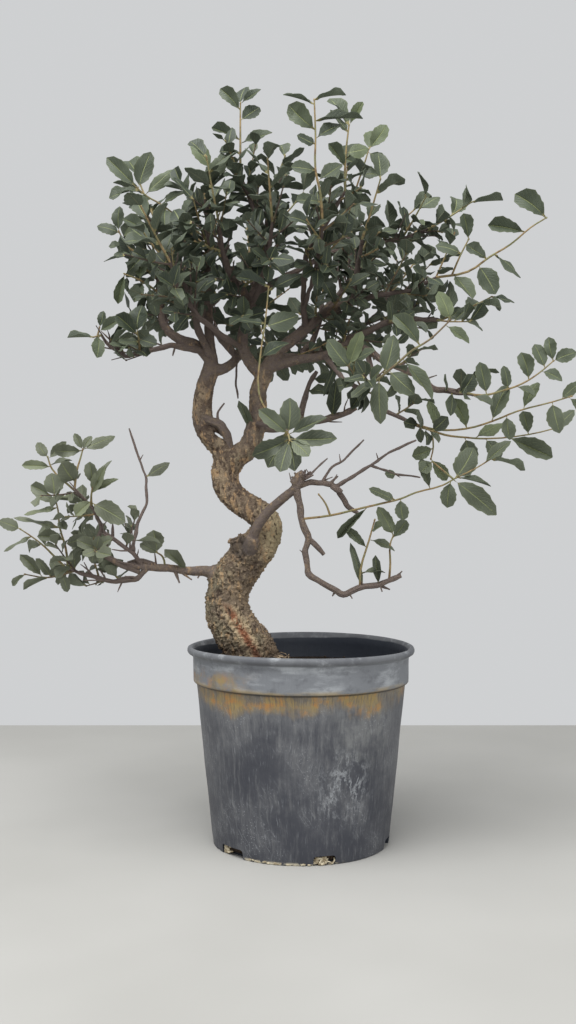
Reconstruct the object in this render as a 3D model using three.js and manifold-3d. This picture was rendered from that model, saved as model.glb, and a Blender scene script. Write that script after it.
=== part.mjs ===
// A cork oak grown as a bonsai, in a round nursery pot.
// Millimetres, +Z up, +X to the right of the front view. The origin is the middle of the pot's foot,
// on the surface that the pot stands on.
import * as THREE from "three";
import { mergeVertices } from "three/addons/utils/BufferGeometryUtils.js";
import Module from "manifold-3d";

const wasm = await Module();
wasm.setup();

// Pot
const rimRadius = 100;
const rimTop = 171.75;
const rimBead = 4;
const rimWidth = 4.5;
const rimFlare = 9; // height over which the collar spreads to the rim
const collarRadius = 95;
const collarBottom = 141.7;
const bodyTopRadius = 91.7;
const footRadius = 77.3;
const edgeRound = 0.8;
const wall = 1.8;
const floorThickness = 2.6;
const potSides = 30;
const soilSides = 20;
const notchCount = 6;
const notchFirst = 14; // degrees round from the front
const notchWidth = 19;
const notchHeight = 8;
const notchDepth = 16;
const notchSides = 8;

// Soil
const soilTop = 159.5;
const soilMound = 3.5; // rise round the trunk
const moundSpread = 1400; // of the mound, as a distance squared
const soilRipple = 1.1;
const rippleLength = 12;
const gap = 0.3;

// Wood and leaves
const trunkSides = 12;
const trunkSteps = 2;
const ridgeHeight = 0.055; // of the trunk's radius
const broadRidges = 5;
const fineRidges = 7;
const broadTurn = 0.45; // of the ridges round the trunk, radians a row
const fineTurn = -0.8;
const twigSides = 3;
const stemRadius = 1.4;
const sideStemRadius = 1.1;
const stemTipRadius = 1;
const stemRise = 0.1; // upward bow of a shoot, share of its length
const leafThickness = 0.65;
const rootInset = 0.9;
const goldenAngle = 137.5;
const leafClearance = 4.3;
const twigClearance = 3.4;
const ownClearance = 3;
const leafTries = 9;
const leafTurn = 40; // degrees of free turn, and of the step to the next try
const leafLean = 62; // degrees out from the stem at its root
const leanLoss = 26; // less of it at the tip
const leanDraw = 14;
const leafLength = 21;
const lengthDraw = 9;
const leafShape = 0.5; // width, share of the length
const shapeDraw = 0.1;
const sampleStep = 5;
const seed = 20261;

const colours = {
  pot: 0x4a5058,
  soil: 0x2b2521,
  wood: 0x7a6a55,
  leaf: 0x3c4a3a,
};

// Trunk from the soil to the fork: x, y, z and radius
const trunk = [
  [-37, 2, 120, 22],
  [-40, 1, 142, 23.5],
  [-43, 0, 163, 23],
  [-57, 1, 184, 20.5],
  [-65, 3, 205, 19],
  [-61, 2, 226, 18.3],
  [-49, -2, 245, 18],
  [-35, -6, 262, 15.5],
  [-30, -8, 278, 13],
  [-38, -6, 288, 12.3],
  [-51, -2, 296, 11.5],
  [-63, 2, 307, 11.5],
  [-67, 4, 320, 12],
  [-65, 4, 334, 12],
];

// Leaders and limbs: first and last radius, sides, and the points from root to tip
const limbs = {
  leftLeader: [11, 7, 6, [
    [-65, 4, 328], [-70, 4, 345], [-80, 5, 356], [-86, 7, 368], [-87, 8, 383],
    [-85, 8, 398], [-81, 6, 411], [-78, 4, 421],
  ]],
  rightLeader: [11, 6.8, 6, [
    [-65, 4, 326], [-57, 2, 337], [-47, 1, 344], [-41, 0, 358], [-38, 0, 377], [-37, -1, 396],
    [-32, -2, 408],
  ]],
  woundLip: [3.6, 4, 4, [
    [-88, 6, 377], [-86, 2, 372], [-80, -1, 369], [-71, -2, 365], [-65, -1, 356], [-63, 0, 346],
    [-62, 2, 337],
  ]],
  leftLimb: [5.6, 1.5, 4, [
    [-78, 4, 421], [-93, 6, 436], [-108, 10, 442], [-121, 15, 454], [-126, 20, 471], [-128, 30, 508],
    [-128, 34, 525], [-133, 38, 556],
  ]],
  tanLimb: [3.6, 1.5, 4, [
    [-79, 2, 424], [-84, -4, 435], [-89, -12, 446], [-92, -20, 461], [-96, -27, 476], [-101, -32, 485],
    [-105, -35, 490],
  ]],
  centreLimb: [5.4, 1.5, 4, [
    [-78, 4, 421], [-80, 3, 435], [-82, 8, 477], [-83, 10, 512], [-81, 8, 527], [-84, 0, 563],
  ]],
  backLimb: [5.2, 1.4, 4, [
    [-80, 4, 412], [-67, 8, 416], [-57, 20, 427], [-51, 45, 451], [-47, 62, 477], [-45, 78, 503],
    [-48, 90, 534],
  ]],
  backLeftLimb: [3.2, 1.4, 3, [
    [-57, 20, 427], [-75, 45, 450], [-95, 70, 475], [-108, 88, 505], [-110, 95, 532],
  ]],
  frontLimb: [6.2, 1.5, 5, [
    [-32, -2, 407], [-44, -4, 419], [-51, -11, 435], [-46, -20, 461], [-48, -26, 475], [-60, -37, 489],
    [-67, -46, 511], [-69, -50, 530],
  ]],
  innerLimb: [3.8, 1.4, 4, [
    [-46, -20, 461], [-42, -20, 476], [-36, -16, 492], [-31, -10, 508], [-30, -4, 524], [-30, 4, 541],
    [-31, 8, 561],
  ]],
  crownLeader: [2.2, 1.4, 3, [
    [-30, -5, 522], [-36, -4, 540], [-45, -3, 563], [-53, -3, 584],
  ]],
  frontLeftLimb: [2.8, 1.4, 3, [
    [-50, -9, 431], [-65, -35, 437], [-85, -60, 450], [-100, -78, 469], [-106, -88, 490],
  ]],
  frontMidLimb: [2.6, 1.4, 3, [
    [-46, -20, 461], [-36, -45, 476], [-27, -68, 500], [-24, -82, 524],
  ]],
  rearLimb: [5, 1.5, 4, [
    [-32, -2, 407], [-26, 10, 421], [-11, 28, 428], [-1, 45, 431], [11, 68, 447], [19, 85, 469],
    [22, 98, 494],
  ]],
  rearRightLimb: [3, 1.4, 3, [
    [-1, 45, 431], [25, 62, 440], [52, 75, 455], [75, 85, 478], [88, 90, 499],
  ]],
  rearLowLimb: [2.8, 1.4, 3, [
    [-11, 28, 428], [-15, 55, 425], [-25, 85, 432], [-30, 106, 448],
  ]],
  rightLimb: [6.8, 1.5, 5, [
    [-32, -2, 407], [-27, -4, 420], [4, -10, 448], [18, -12, 460], [45, -15, 472], [47, -18, 484],
    [52, -26, 522],
  ]],
  rightUpperLimb: [3.6, 1.4, 4, [
    [4, -10, 448], [21, 6, 466], [33, 16, 481], [42, 24, 492], [47, 32, 509], [45, 40, 532],
    [42, 46, 555],
  ]],
  backRightLimb: [3, 1.4, 3, [
    [-42, -20, 476], [-23, -5, 489], [0, 14, 505], [21, 38, 521], [46, 60, 535], [66, 68, 543],
    [78, 74, 549],
  ]],
  farRightLimb: [1.8, 1.3, 3, [[46, 60, 535], [72, 50, 536], [97, 44, 540], [116, 38, 546]]],
  tanShoot: [2.4, 1.5, 3, [
    [4, -10, 448], [2, -28, 462], [2, -42, 485], [4, -52, 506], [18, -58, 525], [31, -60, 546],
    [36, -60, 554],
  ]],
  tallShoot: [2, 1.4, 3, [
    [2, -28, 462], [9, -58, 481], [14, -90, 500], [16, -105, 515],
  ]],
  lowRightLimb: [4.6, 1.8, 4, [
    [-29, -3, 414], [-2, -12, 421], [20, -18, 424], [41, -22, 436], [70, -27, 450], [84, -29, 454],
    [118, -33, 452],
  ]],
  outerRightShoot: [2.4, 1.5, 3, [
    [45, -15, 472], [60, -22, 474], [76, -30, 475], [94, -36, 477], [114, -40, 487],
  ]],
  lowerRightLimb: [3.2, 1.9, 3, [
    [41, -22, 436], [56, -32, 427], [71, -38, 416], [95, -45, 405], [111, -48, 392], [134, -50, 389],
    [145, -50, 392],
  ]],
  hangingShoot: [2.2, 1.5, 3, [
    [56, -32, 427], [61, -28, 402], [72, -26, 376], [91, -25, 367], [106, -24, 361],
  ]],
  redLimb: [3.8, 2.2, 4, [
    [-40, 0, 364], [-22, 6, 362], [-1, 4, 367], [19, -2, 369], [37, -8, 374], [48, -12, 379],
  ]],
  redShoot: [2.8, 1.8, 3, [
    [-1, 4, 367], [2, 2, 383], [7, 0, 400], [14, -3, 412],
  ]],
  lowerCrownLimb: [3, 1.3, 3, [
    [-83, 3, 430], [-97, -8, 431], [-112, -16, 433], [-128, -22, 428], [-150, -28, 422], [-164, -32, 431],
    [-170, -34, 439],
  ]],
  darkBranch: [6.4, 3.4, 5, [
    [-45, -8, 250], [-43, -19, 258], [-40, -26, 271], [-30, -32, 287], [-16, -38, 300], [-4, -42, 310],
    [1, -43, 316],
  ]],
  darkRight: [2.6, 1.9, 3, [
    [-4, -42, 310], [8, -41, 314], [21, -40, 313], [29, -39, 310], [39, -36, 294], [48, -34, 288],
  ]],
  darkArc: [1.7, 1.1, 3, [
    [29, -39, 310], [44, -44, 319], [58, -48, 328], [74, -50, 339], [96, -50, 349],
  ]],
  darkArcSide: [1.2, 0.9, 3, [[58, -48, 328], [78, -46, 321], [100, -44, 318]]],
  darkHanging: [3, 2.1, 3, [
    [-4, -42, 310], [0, -44, 283], [6, -45, 267], [3, -46, 256], [6, -48, 237], [20, -50, 228],
    [35, -52, 220],
    [49, -53, 226], [63, -54, 228], [83, -55, 236],
  ]],
  darkStub: [2.1, 2.3, 3, [[6, -45, 267], [13, -45, 260], [19, -44, 253]]],
  darkTip: [1.4, 1, 3, [[63, -54, 228], [74, -50, 224]]],
  bareTwigOne: [1.2, 0.9, 3, [[-1, -43, 314], [7, -44, 320], [22, -46, 334]]],
  bareTwigTwo: [1.3, 0.9, 3, [[17, -40, 313], [26, -40, 327], [35, -38, 332], [53, -36, 350]]],
  hangingTwig: [1.2, 0.9, 3, [[-57, 19, 425], [-58, 18, 402], [-56, 18, 390]]],
  woundTwig: [1.2, 0.9, 3, [[-72, -2, 366], [-73, -3, 375], [-67, -3, 384]]],
  leftBranch: [6.5, 2.2, 5, [
    [-66, 0, 232], [-80, -3, 236], [-86, -5, 237], [-96, -8, 237], [-116, -12, 240], [-135, -16, 241],
    [-155, -18, 244],
  ]],
  leftLow: [2.8, 1.3, 3, [
    [-133, -16, 241], [-142, -14, 231], [-164, -10, 228], [-193, -6, 235], [-206, -5, 240],
  ]],
  leftHigh: [2.6, 1.3, 3, [
    [-140, -15, 237], [-155, -18, 243], [-167, -22, 250], [-177, -25, 260], [-171, -28, 276],
    [-177, -30, 291],
    [-184, -29, 298], [-194, -28, 308],
  ]],
  leftFront: [2, 1.4, 3, [[-137, -15, 241], [-143, -24, 252], [-157, -28, 263], [-170, -28, 273]]],
  leftCutStub: [2.6, 2.2, 3, [[-126, -14, 242], [-140, -12, 246], [-151, -10, 244]]],
  bareShoot: [1.6, 1, 3, [
    [-145, -25, 256], [-141, -20, 279], [-134, -14, 296], [-135, -8, 318], [-143, -4, 339],
    [-151, 0, 362],
  ]],
  starShoot: [2.2, 1.4, 3, [[-40, 0, 366], [-27, -40, 362], [-16, -80, 357], [-12, -112, 352]]],
  frontRightShoot: [2.2, 1.5, 3, [[20, -18, 424], [36, -60, 397], [48, -90, 388], [58, -100, 393]]],
};

// Leafy shoots drawn one by one: the stems, then leaves as
// [stem, place along it, tip x, tip y, tip z, width, how far the blade faces the front]
const shoots = {
  spray_top_centre: {
    stems: [[[-53, -3, 584], [-53, -3, 600], [-53, -3, 615], [-53, -3, 632], [-53, -2, 647]]],
    leaves: [
      [0, 0.9, -70, -5, 660, 12, 0.9], [0, 1, -36, -4, 660, 9, 0.8], [0, 0.75, -36, 3, 646, 13, 0.9],
      [0, 0.5, -78, -4, 625, 10, 0.7], [0, 0.45, -26, -5, 623, 12, 0.8], [0, 0.3, -70, -14, 604, 8, 0.2],
    ],
    fill: 1,
  },
  spray_top_left: {
    stems: [[[-84, 0, 563], [-84, 0, 577], [-78, -1, 590]]],
    leaves: [[0, 1, -95, -2, 614, 14, 0.9], [0, 0.6, -68, -10, 600, 13, 0.8]],
    fill: 3,
  },
  spray_tall_front: {
    stems: [[[16, -105, 515], [14, -115, 537], [10, -120, 555], [10, -122, 580], [9, -122, 609]]],
    leaves: [
      [0, 0.8, -10, -125, 605, 15, 0.9], [0, 0.7, -4, -126, 580, 10, 0.8],
      [0, 0.97, -14, -128, 613, 7, 0.2],
      [0, 1, 32, -124, 616, 7, 0.3], [0, 0.86, 46, -122, 600, 12, 0.6], [0, 0.74, 30, -124, 590, 13, 0.8],
      [0, 0.5, -8, -128, 556, 12, 0.8], [0, 0.4, 30, -118, 562, 14, 0.7],
      [0, 0.2, -4, -124, 532, 12, 0.7],
    ],
    fill: 0,
  },
  spray_top_right: {
    stems: [[[36, -60, 554], [36, -62, 580], [39, -64, 608]]],
    leaves: [
      [0, 1, 50, -66, 626, 9, 0.7], [0, 0.9, 24, -66, 620, 9, 0.6], [0, 0.6, 54, -66, 590, 12, 0.8],
      [0, 0.4, 22, -72, 590, 11, 0.7],
    ],
    fill: 2,
  },
  spray_top_far_right: {
    stems: [[[42, 46, 555], [50, 30, 580], [58, 20, 603], [61, 18, 613]]],
    leaves: [
      [0, 1, 76, 14, 634, 15, 0.9], [0, 0.93, 80, 15, 600, 12, 0.8], [0, 0.5, 70, 22, 592, 14, 0.8],
      [0, 0.6, 38, 22, 606, 12, 0.7],
    ],
    fill: 2,
  },
  spray_upper_left: {
    stems: [[[-82, 7, 529], [-93, 5, 537], [-106, 0, 546], [-123, -4, 558], [-134, -6, 564],
    [-144, -8, 572]]],
    leaves: [
      [0, 1, -169, -10, 598, 14, 0.9], [0, 0.97, -131, -10, 602, 15, 0.9],
      [0, 0.85, -114, -8, 590, 10, 0.8],
      [0, 0.95, -167, -12, 566, 7, 0.3], [0, 0.75, -147, -10, 559, 10, 0.6],
      [0, 0.6, -102, -14, 567, 10, 0.6],
      [0, 0.55, -118, -18, 540, 13, 0.7],
    ],
    fill: 0,
  },
  spray_left_pairs: {
    stems: [[[-128, 30, 508], [-135, 22, 517], [-142, 15, 519], [-153, 10, 523], [-158, 8, 531],
    [-161, 6, 537]]],
    leaves: [
      [0, 1, -160, 3, 558, 12, 1], [0, 0.96, -179, 3, 542, 11, 0.9], [0, 0.85, -143, 4, 543, 9, 0.7],
      [0, 0.62, -169, 6, 526, 6, 0.3], [0, 0.55, -165, 4, 514, 9, 0.8], [0, 0.4, -153, 8, 503, 11, 0.9],
    ],
    fill: 0,
  },
  spray_left_twig: {
    stems: [[[-127, 24, 485], [-141, 15, 494], [-157, 10, 500]]],
    leaves: [
      [0, 1, -162, 8, 473, 9, 0.9], [0, 0.6, -141, 14, 517, 12, 0.8], [0, 0.5, -147, 4, 474, 12, 0.8],
      [0, 0.3, -128, 8, 466, 11, 0.7],
    ],
    fill: 0,
  },
  spray_lower_crown: {
    stems: [[[-170, -34, 439], [-177, -36, 437]], [[-173, -35, 438], [-171, -36, 446]]],
    leaves: [
      [0, 1, -198, -38, 437, 8, 0.3], [1, 1, -168, -38, 459, 8, 0.8], [0, 0.4, -172, -48, 421, 11, 0.5],
      [1, 0.6, -153, -40, 452, 11, 0.8],
    ],
    fill: 0,
  },
  spray_lower_crown_inner: {
    stems: [[[-139, -25, 425], [-137, -38, 432], [-138, -46, 440]]],
    leaves: [
      [0, 1, -134, -48, 462, 17, 1], [0, 0.9, -155, -50, 454, 13, 0.8], [0, 0.7, -122, -50, 430, 13, 0.7],
      [0, 0.6, -153, -48, 432, 12, 0.6],
    ],
    fill: 0,
  },
  spray_outer_right: {
    stems: [
      [[114, -40, 487], [140, -44, 491], [158, -46, 503], [175, -48, 513], [192, -50, 527],
      [205, -50, 535]],
      [[127, -42, 489], [132, -52, 502], [139, -56, 516]],
    ],
    leaves: [
      [0, 1, 180, -52, 556, 17, 0.9], [0, 0.75, 156, -50, 529, 13, 0.9], [0, 0.45, 186, -52, 491, 9, 0.3],
      [0, 0.3, 163, -48, 472, 16, 0.9], [0, 0.12, 142, -60, 470, 16, 0.6],
      [0, 0.38, 140, -50, 514, 11, 0.6],
      [1, 1, 134, -60, 536, 11, 0.7], [1, 0.6, 114, -60, 512, 13, 0.7],
    ],
    fill: 0,
  },
  spray_lower_right_high: {
    stems: [[[135, -50, 389], [150, -56, 386], [168, -58, 390], [182, -60, 395], [195, -62, 403],
    [208, -64, 414]]],
    leaves: [
      [0, 0.25, 148, -60, 413, 13, 0.9], [0, 0.45, 168, -66, 408, 10, 0.6],
      [0, 0.55, 192, -64, 385, 10, 0.5],
      [0, 0.7, 182, -66, 420, 13, 0.8], [0, 0.85, 214, -68, 398, 12, 0.8],
      [0, 0.9, 193, -62, 428, 12, 0.8],
      [0, 1, 204, -66, 433, 10, 0.9], [0, 1, 226, -66, 421, 11, 0.8],
    ],
    fill: 0,
  },
  spray_lower_right_mid: {
    stems: [[
      [98, -25, 364], [114, -34, 359], [138, -42, 359], [160, -50, 365], [180, -54, 373], [207, -58, 380],
      [224, -60, 385],
    ]],
    leaves: [
      [0, 0.5, 171, -58, 394, 14, 0.8], [0, 0.85, 214, -64, 356, 14, 0.9],
      [0, 0.6, 174, -56, 350, 13, 0.7],
      [0, 0.98, 238, -62, 371, 10, 0.9], [0, 0.35, 128, -50, 384, 12, 0.7],
      [0, 0.7, 198, -50, 399, 11, 0.7],
      [0, 0.2, 110, -42, 382, 11, 0.6], [0, 0.92, 232, -56, 397, 9, 0.8],
    ],
    fill: 0,
  },
  spray_lower_right_low: {
    stems: [
      [[106, -24, 361], [124, -22, 355], [142, -20, 353], [160, -19, 352], [198, -14, 356],
      [227, -8, 363]],
      [[112, -23, 359], [114, -20, 345], [112, -18, 334]],
    ],
    leaves: [
      [0, 0.7, 217, -20, 336, 17, 0.9], [0, 0.6, 171, -26, 335, 13, 0.8],
      [0, 0.8, 192, -16, 376, 12, 0.7],
      [0, 0.4, 152, -16, 328, 15, 0.9], [0, 0.95, 238, -10, 378, 11, 0.7],
      [0, 0.5, 176, -8, 372, 10, 0.5],
      [1, 1, 126, -18, 316, 12, 0.8], [1, 0.6, 96, -24, 338, 12, 0.8],
    ],
    fill: 0,
  },
  spray_long_low: {
    stems: [
      [
        [0, -44, 283], [24, -50, 286], [45, -56, 291], [66, -60, 296], [82, -62, 300], [94, -63, 305],
        [116, -65, 311], [125, -66, 316], [143, -67, 325], [156, -68, 333],
      ],
      [[125, -66, 316], [114, -67, 325], [107, -67, 331]],
      [[24, -50, 286], [20, -53, 296], [14, -55, 304]],
    ],
    leaves: [
      [0, 0.79, 141, -71, 341, 19, 1], [0, 0.76, 120, -68, 293, 14, 0.9],
      [0, 0.78, 160, -70, 287, 15, 0.9],
      [0, 0.8, 157, -64, 313, 7, 0.4], [0, 1, 184, -70, 328, 7, 0.3], [0, 0.62, 99, -66, 333, 8, 0.8],
      [1, 1, 98, -70, 322, 12, 0.7], [0, 0.28, 30, -52, 267, 7, 0.8],
      [0, 0.42, 56, -62, 309, 10, 0.7], [0, 0.45, 84, -66, 283, 12, 0.8],
      [0, 0.95, 170, -72, 348, 10, 0.6],
    ],
    fill: 0,
  },
  spray_left_top: {
    stems: [[[-194, -28, 308], [-192, -28, 324], [-189, -27, 335], [-187, -26, 343]]],
    leaves: [
      [0, 0.97, -211, -30, 342, 11, 0.9], [0, 1, -162, -24, 357, 9, 0.7], [0, 1, -194, -28, 356, 7, 0.8],
      [0, 0.98, -181, -20, 355, 7, 0.7], [0, 0.15, -202, -42, 330, 18, 0.9],
      [0, 0.4, -208, -10, 322, 12, 0.5],
    ],
    fill: 0,
  },
  spray_left_middle: {
    stems: [[[-179, -30, 294], [-178, -38, 302], [-176, -42, 312]]],
    leaves: [
      [0, 1, -178, -46, 331, 11, 0.9], [0, 0.9, -162, -42, 333, 7, 0.7], [0, 0.7, -156, -40, 318, 7, 0.6],
      [0, 0.6, -166, -50, 326, 10, 0.8], [0, 0.2, -149, -44, 281, 17, 0.9],
      [0, 0.3, -190, -46, 286, 11, 0.7],
    ],
    fill: 0,
  },
  spray_left_upper: {
    stems: [[[-190, -28, 304], [-201, -18, 312], [-216, -14, 326], [-220, -14, 337]]],
    leaves: [
      [0, 0.75, -242, -16, 330, 9, 0.8], [0, 1, -229, -14, 349, 9, 0.9],
      [0, 0.95, -204, -14, 350, 7, 0.8],
      [0, 0.8, -200, -12, 336, 8, 0.5], [0, 0.4, -196, 4, 322, 11, 0.6],
    ],
    fill: 0,
  },
  spray_left_upright: {
    stems: [[[-204, -5, 239], [-204, -16, 258], [-208, -22, 276], [-209, -24, 291], [-212, -26, 303]]],
    leaves: [
      [0, 1, -214, -30, 321, 17, 0.9], [0, 0.95, -187, -30, 298, 8, 0.3],
      [0, 0.9, -231, -28, 309, 9, 0.9],
      [0, 0.8, -238, -26, 287, 7, 0.7], [0, 0.5, -247, -24, 285, 9, 0.6],
      [0, 0.6, -200, -34, 274, 8, 0.8],
      [0, 0.3, -186, -18, 268, 11, 0.9], [0, 0.35, -222, -34, 270, 10, 0.7],
    ],
    fill: 0,
  },
  spray_left_far: {
    stems: [[[-206, -5, 240], [-216, -6, 250], [-224, -6, 258], [-234, -6, 266], [-246, -6, 274]]],
    leaves: [
      [0, 1, -264, -8, 281, 11, 0.9], [0, 0.8, -261, -10, 259, 7, 0.5], [0, 0.5, -226, 2, 280, 10, 0.6],
      [0, 0.6, -244, 8, 258, 10, 0.6],
    ],
    fill: 0,
  },
  spray_left_low: {
    stems: [[[-198, -5, 237], [-212, -2, 233], [-223, -2, 231], [-243, -2, 234]]],
    leaves: [
      [0, 0.75, -244, -10, 251, 10, 0.8], [0, 0.6, -226, -16, 247, 9, 0.6], [0, 1, -254, -4, 225, 5, 0.6],
      [0, 0.65, -243, -6, 221, 6, 0.5], [0, 0.3, -204, -8, 219, 9, 0.8],
    ],
    fill: 0,
  },
  spray_left_inner: {
    stems: [[[-176, -8, 230], [-181, 4, 240], [-186, 14, 250]]],
    leaves: [
      [0, 1, -186, 18, 274, 11, 0.8], [0, 0.9, -206, 20, 262, 11, 0.7], [0, 0.6, -162, 6, 244, 14, 0.8],
      [0, 0.5, -192, 20, 236, 10, 0.6],[0, 0.8, -172, 26, 264, 11, 0.7],
    ],
    fill: 0,
  },
  spray_left_round: {
    stems: [[[-118, -12, 240], [-120, -16, 250], [-125, -19, 254]]],
    leaves: [[0, 1, -127, -24, 273, 16, 1], [0, 0.5, -104, -18, 250, 5, 0.5],
    [0, 0.9, -140, -14, 262, 9, 0.7]],
    fill: 0,
  },
  spray_low_first: {
    stems: [[[49, -53, 226], [49, -55, 240], [56, -56, 265], [61, -56, 283]]],
    leaves: [
      [0, 0.6, 38, -58, 276, 7, 0.8], [0, 0.3, 69, -58, 241, 8, 0.5], [0, 0.7, 78, -58, 258, 9, 0.7],
      [0, 0.85, 66, -68, 278, 10, 0.7],
    ],
    fill: 0,
  },
  spray_low_second: {
    stems: [[[73, -54, 232], [74, -54, 246], [74, -53, 262], [77, -52, 270]]],
    leaves: [[0, 1, 65, -58, 292, 12, 0.9], [0, 0.9, 88, -50, 282, 11, 0.8]],
    fill: 0,
  },
  spray_star: {
    stems: [
      [[-12, -112, 352], [-11, -124, 349], [-10, -135, 344]],
      [[-16, -80, 357], [-29, -78, 372], [-35, -76, 387], [-34, -74, 415], [-30, -72, 444],
      [-27, -70, 474]],
    ],
    leaves: [
      [0, 0.5, -33, -128, 369, 13, 0.8], [0, 0.3, -10, -126, 376, 17, 0.9],
      [0, 0.5, 16, -132, 364, 13, 0.7],
      [0, 0.9, 25, -138, 347, 14, 0.9], [0, 1, 7, -146, 330, 16, 0.8], [0, 1, -18, -146, 318, 14, 0.9],
      [0, 0.9, -38, -138, 334, 13, 0.9],
      [1, 1, -52, -72, 485, 9, 0.5], [1, 0.98, -1, -72, 484, 9, 0.4], [1, 0.78, -4, -74, 452, 17, 0.8],
      [1, 0.8, -52, -74, 447, 10, 0.6], [1, 0.6, -12, -78, 428, 14, 0.7],
    ],
    fill: 0,
  },
  spray_front_right: {
    stems: [
      [[58, -100, 393], [73, -103, 405], [87, -105, 417], [100, -106, 425], [112, -107, 436],
      [117, -107, 441]],
      [[48, -90, 388], [42, -104, 396], [36, -112, 404]],
    ],
    leaves: [
      [0, 0.1, 72, -108, 428, 15, 0.9], [0, 0.15, 88, -110, 385, 15, 0.8],
      [0, 0.05, 62, -112, 362, 14, 0.8],
      [1, 0.9, 20, -116, 424, 15, 0.9], [1, 1, 46, -118, 430, 11, 0.9], [0, 0.3, 104, -112, 381, 14, 0.6],
      [0, 0.85, 132, -110, 424, 11, 0.7], [0, 1, 108, -112, 462, 13, 0.9],
      [0, 0.5, 74, -108, 446, 13, 0.7],
    ],
    fill: 0,
  },
};

// Leafy shoots placed by direction: limb, place along it, degrees round from +X, degrees up, length, leaves
const ruleShoots = [
  ["farRightLimb", 0.62, 300, 35, 44, 4],
  ["farRightLimb", 1, 350, 25, 44, 5],
  ["leftLimb", 0.67, 150, 35, 42, 4],
  ["leftLimb", 0.76, 262, 20, 40, 4],
  ["leftLimb", 0.86, 60, 40, 44, 4],
  ["leftLimb", 1, 150, 62, 44, 5],
  ["tanLimb", 1, 215, 40, 42, 5],
  ["centreLimb", 0.72, 250, 45, 46, 4],
  ["centreLimb", 0.8, 75, 45, 44, 4],
  ["backLimb", 0.62, 20, 30, 46, 4],
  ["backLimb", 0.8, 150, 40, 44, 4],
  ["backLimb", 1, 100, 62, 50, 5],
  ["backLeftLimb", 0.6, 215, 22, 46, 4],
  ["backLeftLimb", 1, 150, 55, 46, 5],
  ["frontLimb", 0.62, 325, 20, 42, 4],
  ["frontLimb", 0.8, 185, 32, 44, 4],
  ["frontLimb", 1, 240, 68, 50, 5],
  ["innerLimb", 0.75, 5, 45, 46, 4],
  ["innerLimb", 1, 40, 62, 48, 5],
  ["frontLeftLimb", 1, 225, 50, 46, 5],
  ["frontMidLimb", 1, 262, 58, 46, 5],
  ["rearLimb", 1, 85, 62, 50, 5],
  ["rearRightLimb", 1, 40, 42, 48, 5],
  ["rearLowLimb", 1, 105, 30, 46, 5],
  ["rightLimb", 0.55, 292, 20, 44, 4],
  ["rightLimb", 1, 320, 66, 48, 5],
  ["rightUpperLimb", 0.6, 80, 25, 46, 4],
  ["backRightLimb", 1, 20, 35, 50, 5],
  ["lowRightLimb", 0.72, 75, 25, 44, 4],
  ["lowRightLimb", 1, 350, 18, 46, 5],
];

const fullCircle = 2 * Math.PI;
const up = new THREE.Vector3(0, 0, 1);
const front = new THREE.Vector3(0, -1, 0);

// A repeatable draw between 0 and 1
function makeDraw(start) {
  let state = start;
  return () => {
    state = (state * 1664525 + 1013904223) % 4294967296;
    return state / 4294967296;
  };
}

function vector(point) {
  return new THREE.Vector3(point[0], point[1], point[2]);
}

function radians(degrees) {
  return (degrees * Math.PI) / 180;
}

// The part of a direction that is square to another
function squareTo(direction, axis) {
  return direction.clone().addScaledVector(axis, -direction.dot(axis)).normalize();
}

// The point and the direction at a place from 0 to 1 along a line of points
function along(points, place) {
  const reach = place * (points.length - 1);
  const first = Math.min(Math.floor(reach), points.length - 2);
  const direction = points[first + 1].clone().sub(points[first]);
  const point = points[first].clone().addScaledVector(direction, reach - first);
  return { point, direction: direction.normalize() };
}

function toSolid(geometry) {
  geometry.deleteAttribute("normal");
  geometry.deleteAttribute("uv");
  const merged = mergeVertices(geometry, 1e-5);
  return new wasm.Manifold(new wasm.Mesh({
    numProp: 3,
    vertProperties: Float32Array.from(merged.attributes.position.array),
    triVerts: Uint32Array.from(merged.index.array),
  }));
}

function toMesh(name, solid, colour, roughness) {
  const mesh = solid.getMesh();
  const geometry = new THREE.BufferGeometry();
  geometry.setAttribute("position", new THREE.BufferAttribute(Float32Array.from(mesh.vertProperties), 3));
  geometry.setIndex(new THREE.BufferAttribute(Uint32Array.from(mesh.triVerts), 1));
  geometry.computeVertexNormals();
  const material = new THREE.MeshStandardMaterial({ color: colour, roughness, metalness: 0 });
  const result = new THREE.Mesh(geometry, material);
  result.name = name;
  return result;
}

// The biggest body of a solid, without loose scraps
function biggest(solid) {
  const bodies = solid.decompose();
  bodies.sort((one, two) => two.volume() - one.volume());
  return bodies[0];
}

// A round stem along points, as a cylinder bent to them; relief scales the radius by row and angle
function tube(points, radii, sides, grow = 0, relief = () => 1) {
  const rows = points.length - 1;
  const shape = new THREE.CylinderGeometry(1, 1, 1, sides, rows, false);
  const centres = points.map((point) => point.clone());
  const tangents = points.map((point, row) => {
    const before = points[Math.max(row - 1, 0)];
    const after = points[Math.min(row + 1, rows)];
    return after.clone().sub(before).normalize();
  });
  centres[0].addScaledVector(tangents[0], -grow);
  centres[rows].addScaledVector(tangents[rows], grow);
  const start = Math.abs(tangents[0].z) > 0.9 ? new THREE.Vector3(1, 0, 0) : up;
  const sideways = [squareTo(start, tangents[0])];
  for (let row = 1; row <= rows; row += 1) {
    sideways.push(squareTo(sideways[row - 1], tangents[row]));
  }
  const position = shape.attributes.position;
  for (let index = 0; index < position.count; index += 1) {
    const row = Math.round((position.getY(index) + 0.5) * rows);
    const across = sideways[row];
    const forward = across.clone().cross(tangents[row]);
    const angle = Math.atan2(position.getZ(index), position.getX(index));
    const radius = radii[row] * relief(row, angle) + grow;
    const point = centres[row].clone();
    point.addScaledVector(across, position.getX(index) * radius);
    point.addScaledVector(forward, position.getZ(index) * radius);
    position.setXYZ(index, point.x, point.y, point.z);
  }
  return toSolid(shape);
}

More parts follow.
